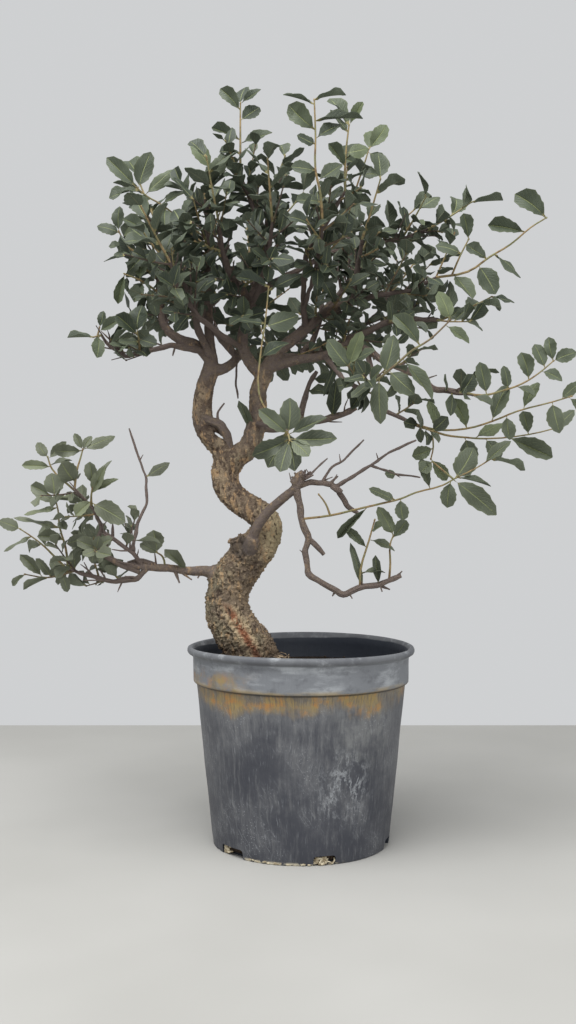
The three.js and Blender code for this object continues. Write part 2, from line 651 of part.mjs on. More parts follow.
// Radii that taper evenly from root to tip
function taper(first, last, count) {
  return Array.from({ length: count }, (_, index) => first + ((last - first) * index) / (count - 1));
}

// Cork ridges that run up the trunk and turn slowly round it
function corkRidges(row, angle) {
  const broad = Math.cos(broadRidges * angle + broadTurn * row);
  const fine = Math.cos(fineRidges * angle + fineTurn * row + 1.3);
  return 1 + ridgeHeight * (0.6 * broad + 0.4 * fine);
}

function makeTrunk(grow) {
  const path = new THREE.CatmullRomCurve3(trunk.map(vector), false, "catmullrom", 0.5);
  const widths = trunk.map((row) => new THREE.Vector3(row[3], 0, 0));
  const size = new THREE.CatmullRomCurve3(widths, false, "catmullrom", 0.5);
  const count = (trunk.length - 1) * trunkSteps + 1;
  const points = [];
  const radii = [];
  for (let index = 0; index < count; index += 1) {
    points.push(path.getPoint(index / (count - 1)));
    radii.push(size.getPoint(index / (count - 1)).x);
  }
  return tube(points, radii, trunkSides, grow, corkRidges);
}

// The trunk with all its limbs, grown together as one piece
function makeWood(grow) {
  let wood = makeTrunk(grow);
  for (const [first, last, sides, points] of Object.values(limbs)) {
    wood = wood.add(tube(points.map(vector), taper(first, last, points.length), sides, grow));
  }
  return wood;
}

// Leaf outlines, right and left edge: place along the blade and share of the half width, from base to tip
const wideOutline = [[[0.22, 0.66], [0.52, 1], [0.82, 0.64]], [[0.22, 0.66], [0.52, 1], [0.82, 0.64]]];
const plainOutline = [[[0.28, 0.84], [0.7, 0.88]], [[0.28, 0.84], [0.7, 0.88]]];
const unevenOutline = [[[0.28, 0.84], [0.7, 0.88]], [[0.48, 1]]];
const smallOutline = [[[0.48, 1]], [[0.48, 1]]];
const wideFrom = 15;
const smallBelow = 9.5;
const leafFold = 0.22;
const leafWave = 0.035;
const leafDroop = 0.12;

// A point of a blade: share of its length, share of its half width, and lift as a share of the length
function leafPoint(leaf, share, across, lift) {
  const point = leaf.base.clone().addScaledVector(leaf.direction, share * leaf.length);
  point.addScaledVector(leaf.side, across * leaf.halfWidth);
  const fold = leafFold * Math.abs(across) * leaf.halfWidth;
  const droop = leafDroop * share * share;
  return point.addScaledVector(leaf.face, fold + (lift - droop) * leaf.length);
}

// A folded, waved blade with the same triangles on both faces
function makeLeaf(leaf) {
  const [right, left] = leaf.outline;
  const rim = [[0, 0, 0]];
  right.forEach(([share, across], index) => rim.push([share, across, index % 2 ? -leafWave : leafWave]));
  rim.push([1, 0, 0]);
  [...left].reverse().forEach(([share, across], index) => {
    rim.push([share, -across, index % 2 ? leafWave : -leafWave]);
  });
  const half = leafThickness / 2;
  const middle = rim.map(([share, across, lift]) => leafPoint(leaf, share, across, lift));
  const upper = middle.map((point) => point.clone().addScaledVector(leaf.face, half));
  const lower = middle.map((point) => point.clone().addScaledVector(leaf.face, -half));
  const count = rim.length;
  const under = upper.length;
  const tip = right.length + 1;
  const faces = [[0, 1, count - 1], [1, tip, count - 1]];
  for (let index = 1; index < tip - 1; index += 1) {
    faces.push([index, index + 1, tip]);
  }
  for (let index = tip + 1; index < count - 1; index += 1) {
    faces.push([tip, index, index + 1]);
  }
  const triangles = [];
  faces.forEach(([one, two, three]) => {
    triangles.push(one, two, three, under + one, under + three, under + two);
  });
  for (let index = 0; index < count; index += 1) {
    const next = (index + 1) % count;
    triangles.push(index, under + next, next);
    triangles.push(index, under + index, under + next);
  }
  const geometry = new THREE.BufferGeometry();
  const places = [...upper, ...lower].flatMap((point) => [point.x, point.y, point.z]);
  geometry.setAttribute("position", new THREE.Float32BufferAttribute(places, 3));
  geometry.setIndex(triangles);
  return toSolid(geometry);
}

// The places that a blade takes up, for keeping others clear of it
function leafSamples(leaf) {
  const samples = [];
  for (const share of [0.3, 0.48, 0.66, 0.84, 1]) {
    const spread = share < 1 ? 0.75 : 0;
    for (const across of spread ? [-spread, 0, spread] : [0]) {
      samples.push(leafPoint(leaf, share, across, 0));
    }
  }
  return samples;
}

function setLeaf(base, tip, width, face, outline) {
  const direction = tip.clone().sub(base);
  const length = direction.length();
  direction.normalize();
  const square = squareTo(face, direction);
  const side = direction.clone().cross(square);
  return { base, direction, length, halfWidth: width / 2, face: square, side, outline };
}

// Where a leaf grows from a stem: sunk to its middle, just short of its end
function leafRoot(stem, place) {
  const { point, direction } = along(stem, place);
  return point.addScaledVector(direction, -rootInset);
}

function pickOutline(width) {
  if (width < smallBelow) {
    return smallOutline;
  }
  return width < wideFrom ? plainOutline : wideOutline;
}

// A leaf drawn by hand, turned partly towards the front and partly upwards
function handLeaf(stems, [stem, place, x, y, z, width, facing]) {
  const base = leafRoot(stems[stem], place);
  const face = up.clone().multiplyScalar(1.05 - facing).addScaledVector(front, facing);
  return setLeaf(base, new THREE.Vector3(x, y, z), width, face, pickOutline(width));
}

// A leaf by rule: round the stem by the golden angle, leaning out from it
function ruleLeaf(stem, place, turn, lean, length, width) {
  const { direction } = along(stem, place);
  const across = squareTo(Math.abs(direction.z) > 0.9 ? front : up, direction);
  const out = across.clone().multiplyScalar(Math.cos(turn));
  out.addScaledVector(direction.clone().cross(across), Math.sin(turn));
  const heading = direction.clone().multiplyScalar(Math.cos(lean)).addScaledVector(out, Math.sin(lean));
  heading.addScaledVector(up, 0.15).normalize();
  const face = direction.clone().addScaledVector(up, 0.7).addScaledVector(out, -0.3);
  const base = leafRoot(stem, place);
  return setLeaf(base, base.clone().addScaledVector(heading, length), width, face, unevenOutline);
}

// What each leafy shoot and limb takes up: sample points with an owner
const taken = [];

function take(points, owner, radius) {
  points.forEach((point) => taken.push({ point, owner, radius }));
}

function samplesAlong(points) {
  const samples = [];
  for (let index = 1; index < points.length; index += 1) {
    const steps = Math.ceil(points[index].distanceTo(points[index - 1]) / sampleStep);
    for (let step = 1; step <= steps; step += 1) {
      samples.push(points[index - 1].clone().lerp(points[index], step / steps));
    }
  }
  return samples;
}

function isClear(leaf, owner) {
  const samples = leafSamples(leaf);
  return !taken.some((other) => {
    const distance = other.owner === owner ? ownClearance : leafClearance;
    const needed = (other.radius > 0 ? twigClearance + other.radius : distance) ** 2;
    if (other.owner === owner && other.radius > 0) {
      return false;
    }
    return samples.some((sample) => sample.distanceToSquared(other.point) < needed);
  });
}

// A shoot by direction: a gently rising stem of three points
function ruleStem([limb, place, around, rise, length]) {
  const points = limbs[limb][3].map(vector);
  const root = along(points, place).point;
  const heading = new THREE.Vector3(
    Math.cos(radians(around)) * Math.cos(radians(rise)),
    Math.sin(radians(around)) * Math.cos(radians(rise)),
    Math.sin(radians(rise)),
  );
  return [0, 0.45, 1].map((share) => {
    const point = root.clone().addScaledVector(heading, share * length);
    point.z += stemRise * length * share * share;
    return point;
  });
}

// Lists every leafy shoot with its stems and the number of leaves that the rule adds
function listShoots() {
  const list = Object.entries(shoots).map(([name, shoot]) => ({
    name,
    stems: shoot.stems.map((stem) => stem.map(vector)),
    hand: shoot.leaves,
    fill: shoot.fill,
  }));
  ruleShoots.forEach((row, index) => {
    list.push({ name: `spray_${row[0]}_${index + 1}`, stems: [ruleStem(row)], hand: [], fill: row[5] });
  });
  return list;
}

// Draws the leaves that the rule adds to one shoot, trying other turns where one is in the way
function fillShoot(shoot, draw) {
  for (let index = 0; index < shoot.fill; index += 1) {
    const place = (index + 1) / shoot.fill;
    const turn = index * goldenAngle + leafTurn * draw();
    const lean = leafLean - leanLoss * place + leanDraw * draw();
    const length = leafLength + lengthDraw * draw();
    const width = length * (leafShape + shapeDraw * draw());
    for (let attempt = 0; attempt < leafTries; attempt += 1) {
      const angle = radians(turn + leafTurn * attempt);
      const leaf = ruleLeaf(shoot.stems[0], place, angle, radians(lean), length, width);
      if (isClear(leaf, shoot.name)) {
        shoot.leaves.push(leaf);
        take(leafSamples(leaf), shoot.name, 0);
        break;
      }
    }
  }
}

function growLeaves(list) {
  for (const [first, last, , points] of Object.values(limbs)) {
    take(samplesAlong(points.map(vector)), "wood", (first + last) / 2);
  }
  list.forEach((shoot) => {
    shoot.stems.forEach((stem) => take(samplesAlong(stem), shoot.name, 1));
    shoot.leaves = shoot.hand.map((leaf) => handLeaf(shoot.stems, leaf));
    shoot.leaves.forEach((leaf) => take(leafSamples(leaf), shoot.name, 0));
  });
  const draw = makeDraw(seed);
  list.forEach((shoot) => fillShoot(shoot, draw));
}

// One leafy shoot with its blades grown on, cut back where it meets the limb that carries it
function makeShoot(shoot, woodSpace) {
  let solid = null;
  shoot.stems.forEach((stem, index) => {
    const root = index ? sideStemRadius : stemRadius;
    const part = tube(stem, taper(root, stemTipRadius, stem.length), twigSides);
    solid = solid ? solid.add(part) : part;
  });
  shoot.leaves.forEach((leaf) => {
    solid = solid.add(makeLeaf(leaf));
  });
  return biggest(solid.subtract(woodSpace));
}

// How far the body spreads for each millimetre of height
const wallSlope = (bodyTopRadius - footRadius) / collarBottom;

function ringWithHeight(radius, height) {
  return new THREE.Vector2(radius, height);
}

// The pot: one wall turned about its axis, with a rolled rim, a collar and a flat floor
function makePot() {
  const collarFoot = collarRadius - edgeRound;
  const profile = [
    ringWithHeight(0, 0),
    ringWithHeight(footRadius, 0),
    ringWithHeight(bodyTopRadius, collarBottom - edgeRound),
    ringWithHeight(collarFoot, collarBottom),
    ringWithHeight(collarRadius, rimTop - rimFlare),
    ringWithHeight(rimRadius, rimTop - rimBead),
    ringWithHeight(rimRadius - edgeRound, rimTop),
    ringWithHeight(rimRadius - rimWidth, rimTop),
    ringWithHeight(collarRadius - wall, rimTop - rimBead),
    ringWithHeight(collarFoot - wall, collarBottom + wall),
    ringWithHeight(bodyTopRadius - wall, collarBottom - wall),
    ringWithHeight(footRadius + wallSlope * floorThickness - wall, floorThickness),
    ringWithHeight(0, floorThickness),
  ];
  let pot = toSolid(turned(profile, potSides));
  for (let index = 0; index < notchCount; index += 1) {
    pot = pot.subtract(makeNotch(notchFirst + (index * 360) / notchCount));
  }
  return pot;
}

// A profile turned about +Z
function turned(profile, sides) {
  const shape = new THREE.LatheGeometry(profile, sides);
  shape.rotateX(Math.PI / 2);
  return shape;
}

// A drain notch through the foot, at an angle round from the front
function makeNotch(around) {
  const radius = notchWidth / 2;
  const block = new THREE.CylinderGeometry(radius, radius, notchDepth, notchSides, 1, false);
  block.scale(1, 1, notchHeight / radius);
  block.translate(0, footRadius, 0);
  block.rotateZ(radians(around) + Math.PI);
  return toSolid(block);
}

// The root ball: it fills the pot, with a slightly uneven top and a plain hole for the trunk
function makeSoil(trunkSpace) {
  const flatSide = Math.cos(Math.PI / potSides);
  const inner = (height) => (footRadius + wallSlope * height - wall) * flatSide - gap;
  const bottom = floorThickness + gap;
  const profile = [
    ringWithHeight(0, bottom),
    ringWithHeight(inner(bottom) - 1, bottom),
    ringWithHeight(inner(bottom + 4), bottom + 4),
    ringWithHeight(inner(collarBottom - 5), collarBottom - 5),
    ringWithHeight(inner(collarBottom) - 0.5, soilTop - 2),
    ringWithHeight(62, soilTop),
    ringWithHeight(30, soilTop),
    ringWithHeight(0, soilTop),
  ];
  const shape = turned(profile, soilSides);
  const stemFoot = trunk[2];
  const position = shape.attributes.position;
  for (let index = 0; index < position.count; index += 1) {
    const x = position.getX(index);
    const y = position.getY(index);
    if (position.getZ(index) > soilTop - 1) {
      const away = (x - stemFoot[0]) ** 2 + (y - stemFoot[1]) ** 2;
      const mound = soilMound * Math.exp(-away / moundSpread);
      const ripple = soilRipple * Math.sin(x / rippleLength) * Math.cos(y / rippleLength);
      position.setZ(index, soilTop + mound + ripple);
    }
  }
  return toSolid(shape).subtract(trunkSpace);
}

const model = new THREE.Group();
const wood = makeWood(0);
const woodSpace = makeWood(gap);
model.add(toMesh("pot", makePot(), colours.pot, 0.7));
model.add(toMesh("soil", makeSoil(makeTrunk(gap)), colours.soil, 0.95));
model.add(toMesh("trunk_and_limbs", biggest(wood), colours.wood, 0.85));
const leafyShoots = listShoots();
growLeaves(leafyShoots);
leafyShoots.forEach((shoot) => {
  model.add(toMesh(shoot.name, makeShoot(shoot, woodSpace), colours.leaf, 0.7));
});

export default model;
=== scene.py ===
# A cork oak grown as a bonsai, in a weathered round nursery pot.
# Places of the tree are in millimetres, as in the solids, and are made metres where a piece is drawn.
import math

import bpy
import numpy as np
from mathutils import Matrix, Vector, noise


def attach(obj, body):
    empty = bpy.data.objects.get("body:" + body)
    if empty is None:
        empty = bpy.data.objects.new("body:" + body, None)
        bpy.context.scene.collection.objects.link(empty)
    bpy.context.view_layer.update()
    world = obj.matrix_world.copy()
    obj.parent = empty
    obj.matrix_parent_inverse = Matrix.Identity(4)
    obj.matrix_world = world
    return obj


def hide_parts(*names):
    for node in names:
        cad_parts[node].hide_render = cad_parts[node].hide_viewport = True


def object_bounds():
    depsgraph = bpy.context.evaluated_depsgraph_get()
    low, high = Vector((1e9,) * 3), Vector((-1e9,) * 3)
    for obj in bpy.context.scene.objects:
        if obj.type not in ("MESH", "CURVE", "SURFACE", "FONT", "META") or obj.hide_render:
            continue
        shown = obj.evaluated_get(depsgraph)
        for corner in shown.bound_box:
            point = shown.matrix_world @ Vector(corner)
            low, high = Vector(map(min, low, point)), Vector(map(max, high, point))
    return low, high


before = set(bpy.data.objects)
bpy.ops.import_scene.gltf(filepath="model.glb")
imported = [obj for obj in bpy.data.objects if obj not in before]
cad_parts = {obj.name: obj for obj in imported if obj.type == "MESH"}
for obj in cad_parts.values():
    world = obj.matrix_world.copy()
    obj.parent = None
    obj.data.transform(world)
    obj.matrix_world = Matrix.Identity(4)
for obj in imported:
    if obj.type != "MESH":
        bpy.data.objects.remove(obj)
solidBox = [list(corner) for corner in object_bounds()]
bpy.ops.object.select_all(action="DESELECT")

# Without a seed of its own, the warp of the cork differs from run to run
noise.seed_set(612)

up = Vector((0, 0, 1))
front = Vector((0, -1, 0))


def inMetres(point):
    return Vector(point[:3]) * 0.001


# A repeatable draw between 0 and 1, the same as the solids use
def makeDraw(start):
    state = [start]

    def draw():
        state[0] = (state[0] * 1664525 + 1013904223) % 4294967296
        return state[0] / 4294967296

    return draw


# A place round the pot's axis, turned from the front towards +X
def onCircle(turn, reach, height):
    return (math.sin(turn) * reach, -math.cos(turn) * reach, height)


def squareTo(direction, axis):
    return (direction - axis * direction.dot(axis)).normalized()


# A way out square to a direction, turned about it
def outFrom(direction, turn):
    across = squareTo(front if abs(direction.z) > 0.9 else up, direction)
    return across * math.cos(turn) + direction.cross(across) * math.sin(turn)


# The point and direction at a place from 0 to 1 along a line of points
def along(points, place):
    reach = place * (len(points) - 1)
    first = min(int(reach), len(points) - 2)
    step = points[first + 1] - points[first]
    return points[first] + step * (reach - first), step.normalized()


def taper(first, last, count):
    return [first + (last - first) * index / (count - 1) for index in range(count)]


def smoothstep(value, low, high):
    share = min(max((value - low) / (high - low), 0), 1)
    return share * share * (3 - 2 * share)


def pickOnly(piece):
    bpy.ops.object.select_all(action="DESELECT")
    piece.select_set(True)
    bpy.context.view_layer.objects.active = piece


# Selects the corners that pass a test, and nothing else, in edit mode
def selectPoints(piece, test):
    bpy.ops.object.mode_set(mode="OBJECT")
    for kind in (piece.data.edges, piece.data.polygons):
        kind.foreach_set("select", [False] * len(kind))
    for corner in piece.data.vertices:
        corner.select = test(corner)
    bpy.ops.object.mode_set(mode="EDIT")


def joinPieces(pieces, name):
    pickOnly(pieces[0])
    for piece in pieces:
        piece.select_set(True)
    if len(pieces) > 1:
        bpy.ops.object.join()
    pieces[0].name = name
    pieces[0].data.name = name
    return pieces[0]


def applyModifier(piece, kind, settings):
    pickOnly(piece)
    modifier = piece.modifiers.new(kind.title(), kind)
    for setting, value in settings.items():
        setattr(modifier, setting, value)
    bpy.ops.object.modifier_apply(modifier=modifier.name)


def cutAway(piece, tool):
    applyModifier(piece, "BOOLEAN", {"operation": "DIFFERENCE", "object": tool, "solver": "EXACT"})
    bpy.data.objects.remove(tool)


def copyOf(master):
    twin = master.copy()
    twin.data = master.data.copy()
    bpy.context.collection.objects.link(twin)
    return twin


def markEach(piece, attribute, values):
    field = piece.data.attributes.new(attribute, "FLOAT", "POINT")
    field.data.foreach_set("value", list(values))


def markAll(piece, attribute, value):
    markEach(piece, attribute, [value] * len(piece.data.vertices))


def readPoints(piece, kind):
    values = np.empty(len(piece.data.vertices) * 3)
    piece.data.vertices.foreach_get(kind, values)
    return values.reshape(-1, 3)


def writePoints(piece, places):
    piece.data.vertices.foreach_set("co", places.ravel())
    piece.data.update()


# Moves each point of a piece out along its normal, by millimetres
def moveOut(piece, spots, depth):
    writePoints(piece, (spots + readPoints(piece, "normal") * depth[:, None]) * 0.001)


# A ball of 20 faces, a millimetre in radius
def addBall():
    bpy.ops.mesh.primitive_ico_sphere_add(subdivisions=1, radius=0.001)
    return bpy.context.object


# A round stem drawn as a curve through points, given its thickness and made a mesh
def drawStem(points, radii, corners=2, steps=3):
    bpy.ops.curve.primitive_bezier_curve_add()
    stem = bpy.context.object
    line = stem.data.splines[0]
    line.bezier_points.add(len(points) - 2)
    for knot, point, radius in zip(line.bezier_points, points, radii):
        knot.co = inMetres(point)
        knot.handle_left_type = "AUTO"
        knot.handle_right_type = "AUTO"
        knot.radius = radius
    stem.data.bevel_depth = 0.001
    stem.data.bevel_resolution = corners
    stem.data.resolution_u = steps
    stem.data.use_fill_caps = True
    bpy.ops.object.convert(target="MESH")
    return bpy.context.object


# A wall turned about +Z: a ring drawn out from one radius and height to the next, closed at both ends
def turnWall(rings, sides):
    radius, height = rings[0]
    bpy.ops.mesh.primitive_circle_add(vertices=sides, radius=radius * 0.001)
    piece = bpy.context.object
    bpy.ops.object.mode_set(mode="EDIT")
    bpy.ops.mesh.select_all(action="SELECT")
    bpy.ops.transform.translate(value=(0, 0, height * 0.001))
    for nextRadius, nextHeight in rings[1:]:
        rise = (0, 0, (nextHeight - height) * 0.001)
        bpy.ops.mesh.extrude_region_move(TRANSFORM_OT_translate={"value": rise})
        share = nextRadius / radius
        bpy.ops.transform.resize(value=(share, share, 1), center_override=(0, 0, 0))
        radius, height = nextRadius, nextHeight
    bpy.ops.mesh.edge_face_add()
    selectPoints(piece, lambda corner: corner.index < sides)
    bpy.ops.mesh.edge_face_add()
    bpy.ops.mesh.select_all(action="SELECT")
    bpy.ops.mesh.normals_make_consistent(inside=False)
    bpy.ops.object.mode_set(mode="OBJECT")
    return piece


# Smooths a piece, rides it on the tree's body and hides the solids that it replaces; its slot is not used
def finishPiece(piece, slot, *nodes):
    pickOnly(piece)
    bpy.ops.object.shade_smooth_by_angle(angle=math.radians(40))
    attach(piece, "root")
    if nodes:
        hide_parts(*nodes)
    piece.select_set(False)


# Trunk from the soil to the fork, in millimetres: x, y, z and radius
trunk = [
    [-37, 2, 120, 22], [-40, 1, 142, 23.5], [-43, 0, 163, 23], [-57, 1, 184, 20.5], [-65, 3, 205, 19],
    [-61, 2, 226, 18.3], [-49, -2, 245, 18], [-35, -6, 262, 15.5], [-30, -8, 278, 13], [-38, -6, 288, 12.3],
    [-51, -2, 296, 11.5], [-63, 2, 307, 11.5], [-67, 4, 320, 12], [-65, 4, 334, 12],
]

# Leaders and limbs: first and last radius, and the points from root to tip
limbs = {
    "leftLeader": [11, 7, [
        [-65, 4, 328], [-70, 4, 345], [-80, 5, 356], [-86, 7, 368], [-87, 8, 383], [-85, 8, 398],
        [-81, 6, 411], [-78, 4, 421],
    ]],
    "rightLeader": [11, 6.8, [
        [-65, 4, 326], [-57, 2, 337], [-47, 1, 344], [-41, 0, 358], [-38, 0, 377], [-37, -1, 396],
        [-32, -2, 408],
    ]],
    "woundLip": [3.6, 4, [
        [-88, 6, 377], [-86, 2, 372], [-80, -1, 369], [-71, -2, 365], [-65, -1, 356], [-63, 0, 346],
        [-62, 2, 337],
    ]],
    "leftLimb": [5.6, 1.5, [
        [-78, 4, 421], [-93, 6, 436], [-108, 10, 442], [-121, 15, 454], [-126, 20, 471], [-128, 30, 508],
        [-128, 34, 525], [-133, 38, 556],
    ]],
    "tanLimb": [3.6, 1.5, [
        [-79, 2, 424], [-84, -4, 435], [-89, -12, 446], [-92, -20, 461], [-96, -27, 476], [-101, -32, 485],
        [-105, -35, 490],
    ]],
    "centreLimb": [5.4, 1.5, [
        [-78, 4, 421], [-80, 3, 435], [-82, 8, 477], [-83, 10, 512], [-81, 8, 527], [-84, 0, 563],
    ]],
    "backLimb": [5.2, 1.4, [
        [-80, 4, 412], [-67, 8, 416], [-57, 20, 427], [-51, 45, 451], [-47, 62, 477], [-45, 78, 503],
        [-48, 90, 534],
    ]],
    "backLeftLimb": [3.2, 1.4, [
        [-57, 20, 427], [-75, 45, 450], [-95, 70, 475], [-108, 88, 505], [-110, 95, 532],
    ]],
    "frontLimb": [6.2, 1.5, [
        [-32, -2, 407], [-44, -4, 419], [-51, -11, 435], [-46, -20, 461], [-48, -26, 475], [-60, -37, 489],
        [-67, -46, 511], [-69, -50, 530],
    ]],
    "innerLimb": [3.8, 1.4, [
        [-46, -20, 461], [-42, -20, 476], [-36, -16, 492], [-31, -10, 508], [-30, -4, 524], [-30, 4, 541],
        [-31, 8, 561],
    ]],
    "crownLeader": [2.2, 1.4, [[-30, -5, 522], [-36, -4, 540], [-45, -3, 563], [-53, -3, 584]]],
    "frontLeftLimb": [2.8, 1.4, [
        [-50, -9, 431], [-65, -35, 437], [-85, -60, 450], [-100, -78, 469], [-106, -88, 490],
    ]],
    "frontMidLimb": [2.6, 1.4, [[-46, -20, 461], [-36, -45, 476], [-27, -68, 500], [-24, -82, 524]]],
    "rearLimb": [5, 1.5, [
        [-32, -2, 407], [-26, 10, 421], [-11, 28, 428], [-1, 45, 431], [11, 68, 447], [19, 85, 469],
        [22, 98, 494],
    ]],
    "rearRightLimb": [3, 1.4, [[-1, 45, 431], [25, 62, 440], [52, 75, 455], [75, 85, 478], [88, 90, 499]]],
    "rearLowLimb": [2.8, 1.4, [[-11, 28, 428], [-15, 55, 425], [-25, 85, 432], [-30, 106, 448]]],
    "rightLimb": [6.8, 1.5, [
        [-32, -2, 407], [-27, -4, 420], [4, -10, 448], [18, -12, 460], [45, -15, 472], [47, -18, 484],
        [52, -26, 522],
    ]],
    "rightUpperLimb": [3.6, 1.4, [
        [4, -10, 448], [21, 6, 466], [33, 16, 481], [42, 24, 492], [47, 32, 509], [45, 40, 532],
        [42, 46, 555],
    ]],
    "backRightLimb": [3, 1.4, [
        [-42, -20, 476], [-23, -5, 489], [0, 14, 505], [21, 38, 521], [46, 60, 535], [66, 68, 543],
        [78, 74, 549],
    ]],
    "farRightLimb": [1.8, 1.3, [[46, 60, 535], [72, 50, 536], [97, 44, 540], [116, 38, 546]]],
    "tanShoot": [2.4, 1.5, [
        [4, -10, 448], [2, -28, 462], [2, -42, 485], [4, -52, 506], [18, -58, 525], [31, -60, 546],
        [36, -60, 554],
    ]],
    "tallShoot": [2, 1.4, [[2, -28, 462], [9, -58, 481], [14, -90, 500], [16, -105, 515]]],
    "lowRightLimb": [4.6, 1.8, [
        [-29, -3, 414], [-2, -12, 421], [20, -18, 424], [41, -22, 436], [70, -27, 450], [84, -29, 454],
        [118, -33, 452],
    ]],
    "outerRightShoot": [2.4, 1.5, [
        [45, -15, 472], [60, -22, 474], [76, -30, 475], [94, -36, 477], [114, -40, 487],
    ]],
    "lowerRightLimb": [3.2, 1.9, [
        [41, -22, 436], [56, -32, 427], [71, -38, 416], [95, -45, 405], [111, -48, 392], [134, -50, 389],
        [145, -50, 392],
    ]],
    "hangingShoot": [2.2, 1.5, [
        [56, -32, 427], [61, -28, 402], [72, -26, 376], [91, -25, 367], [106, -24, 361],
    ]],
    "redLimb": [3.8, 2.2, [
        [-40, 0, 364], [-22, 6, 362], [-1, 4, 367], [19, -2, 369], [37, -8, 374], [48, -12, 379],
    ]],
    "redShoot": [2.8, 1.8, [[-1, 4, 367], [2, 2, 383], [7, 0, 400], [14, -3, 412]]],
    "lowerCrownLimb": [3, 1.3, [
        [-83, 3, 430], [-97, -8, 431], [-112, -16, 433], [-128, -22, 428], [-150, -28, 422],
        [-164, -32, 431], [-170, -34, 439],
    ]],
    "darkBranch": [6.4, 3.4, [
        [-45, -8, 250], [-43, -19, 258], [-40, -26, 271], [-30, -32, 287], [-16, -38, 300], [-4, -42, 310],
        [1, -43, 316],
    ]],
    "darkRight": [2.6, 1.9, [
        [-4, -42, 310], [8, -41, 314], [21, -40, 313], [29, -39, 310], [39, -36, 294], [48, -34, 288],
    ]],
    "darkArc": [1.7, 1.1, [[29, -39, 310], [44, -44, 319], [58, -48, 328], [74, -50, 339], [96, -50, 349]]],
    "darkArcSide": [1.2, 0.9, [[58, -48, 328], [78, -46, 321], [100, -44, 318]]],
    "darkHanging": [3, 2.1, [
        [-4, -42, 310], [0, -44, 283], [6, -45, 267], [3, -46, 256], [6, -48, 237], [20, -50, 228],
        [35, -52, 220], [49, -53, 226], [63, -54, 228], [83, -55, 236],
    ]],
    "darkStub": [2.1, 2.3, [[6, -45, 267], [13, -45, 260], [19, -44, 253]]],
    "darkTip": [1.4, 1, [[63, -54, 228], [74, -50, 224]]],
    "bareTwigOne": [1.2, 0.9, [[-1, -43, 314], [7, -44, 320], [22, -46, 334]]],
    "bareTwigTwo": [1.3, 0.9, [[17, -40, 313], [26, -40, 327], [35, -38, 332], [53, -36, 350]]],
    "hangingTwig": [1.2, 0.9, [[-57, 19, 425], [-58, 18, 402], [-56, 18, 390]]],
    "woundTwig": [1.2, 0.9, [[-72, -2, 366], [-73, -3, 375], [-67, -3, 384]]],
    "leftBranch": [6.5, 2.2, [
        [-66, 0, 232], [-80, -3, 236], [-86, -5, 237], [-96, -8, 237], [-116, -12, 240], [-135, -16, 241],
        [-155, -18, 244],
    ]],
    "leftLow": [2.8, 1.3, [
        [-133, -16, 241], [-142, -14, 231], [-164, -10, 228], [-193, -6, 235], [-206, -5, 240],
    ]],
    "leftHigh": [2.6, 1.3, [
        [-140, -15, 237], [-155, -18, 243], [-167, -22, 250], [-177, -25, 260], [-171, -28, 276],
        [-177, -30, 291], [-184, -29, 298], [-194, -28, 308],
    ]],
    "leftFront": [2, 1.4, [[-137, -15, 241], [-143, -24, 252], [-157, -28, 263], [-170, -28, 273]]],
    "leftCutStub": [2.6, 2.2, [[-126, -14, 242], [-140, -12, 246], [-151, -10, 244]]],
    "bareShoot": [1.6, 1, [
        [-145, -25, 256], [-141, -20, 279], [-134, -14, 296], [-135, -8, 318], [-143, -4, 339],
        [-151, 0, 362],
    ]],
    "starShoot": [2.2, 1.4, [[-40, 0, 366], [-27, -40, 362], [-16, -80, 357], [-12, -112, 352]]],
    "frontRightShoot": [2.2, 1.5, [[20, -18, 424], [36, -60, 397], [48, -90, 388], [58, -100, 393]]],
}

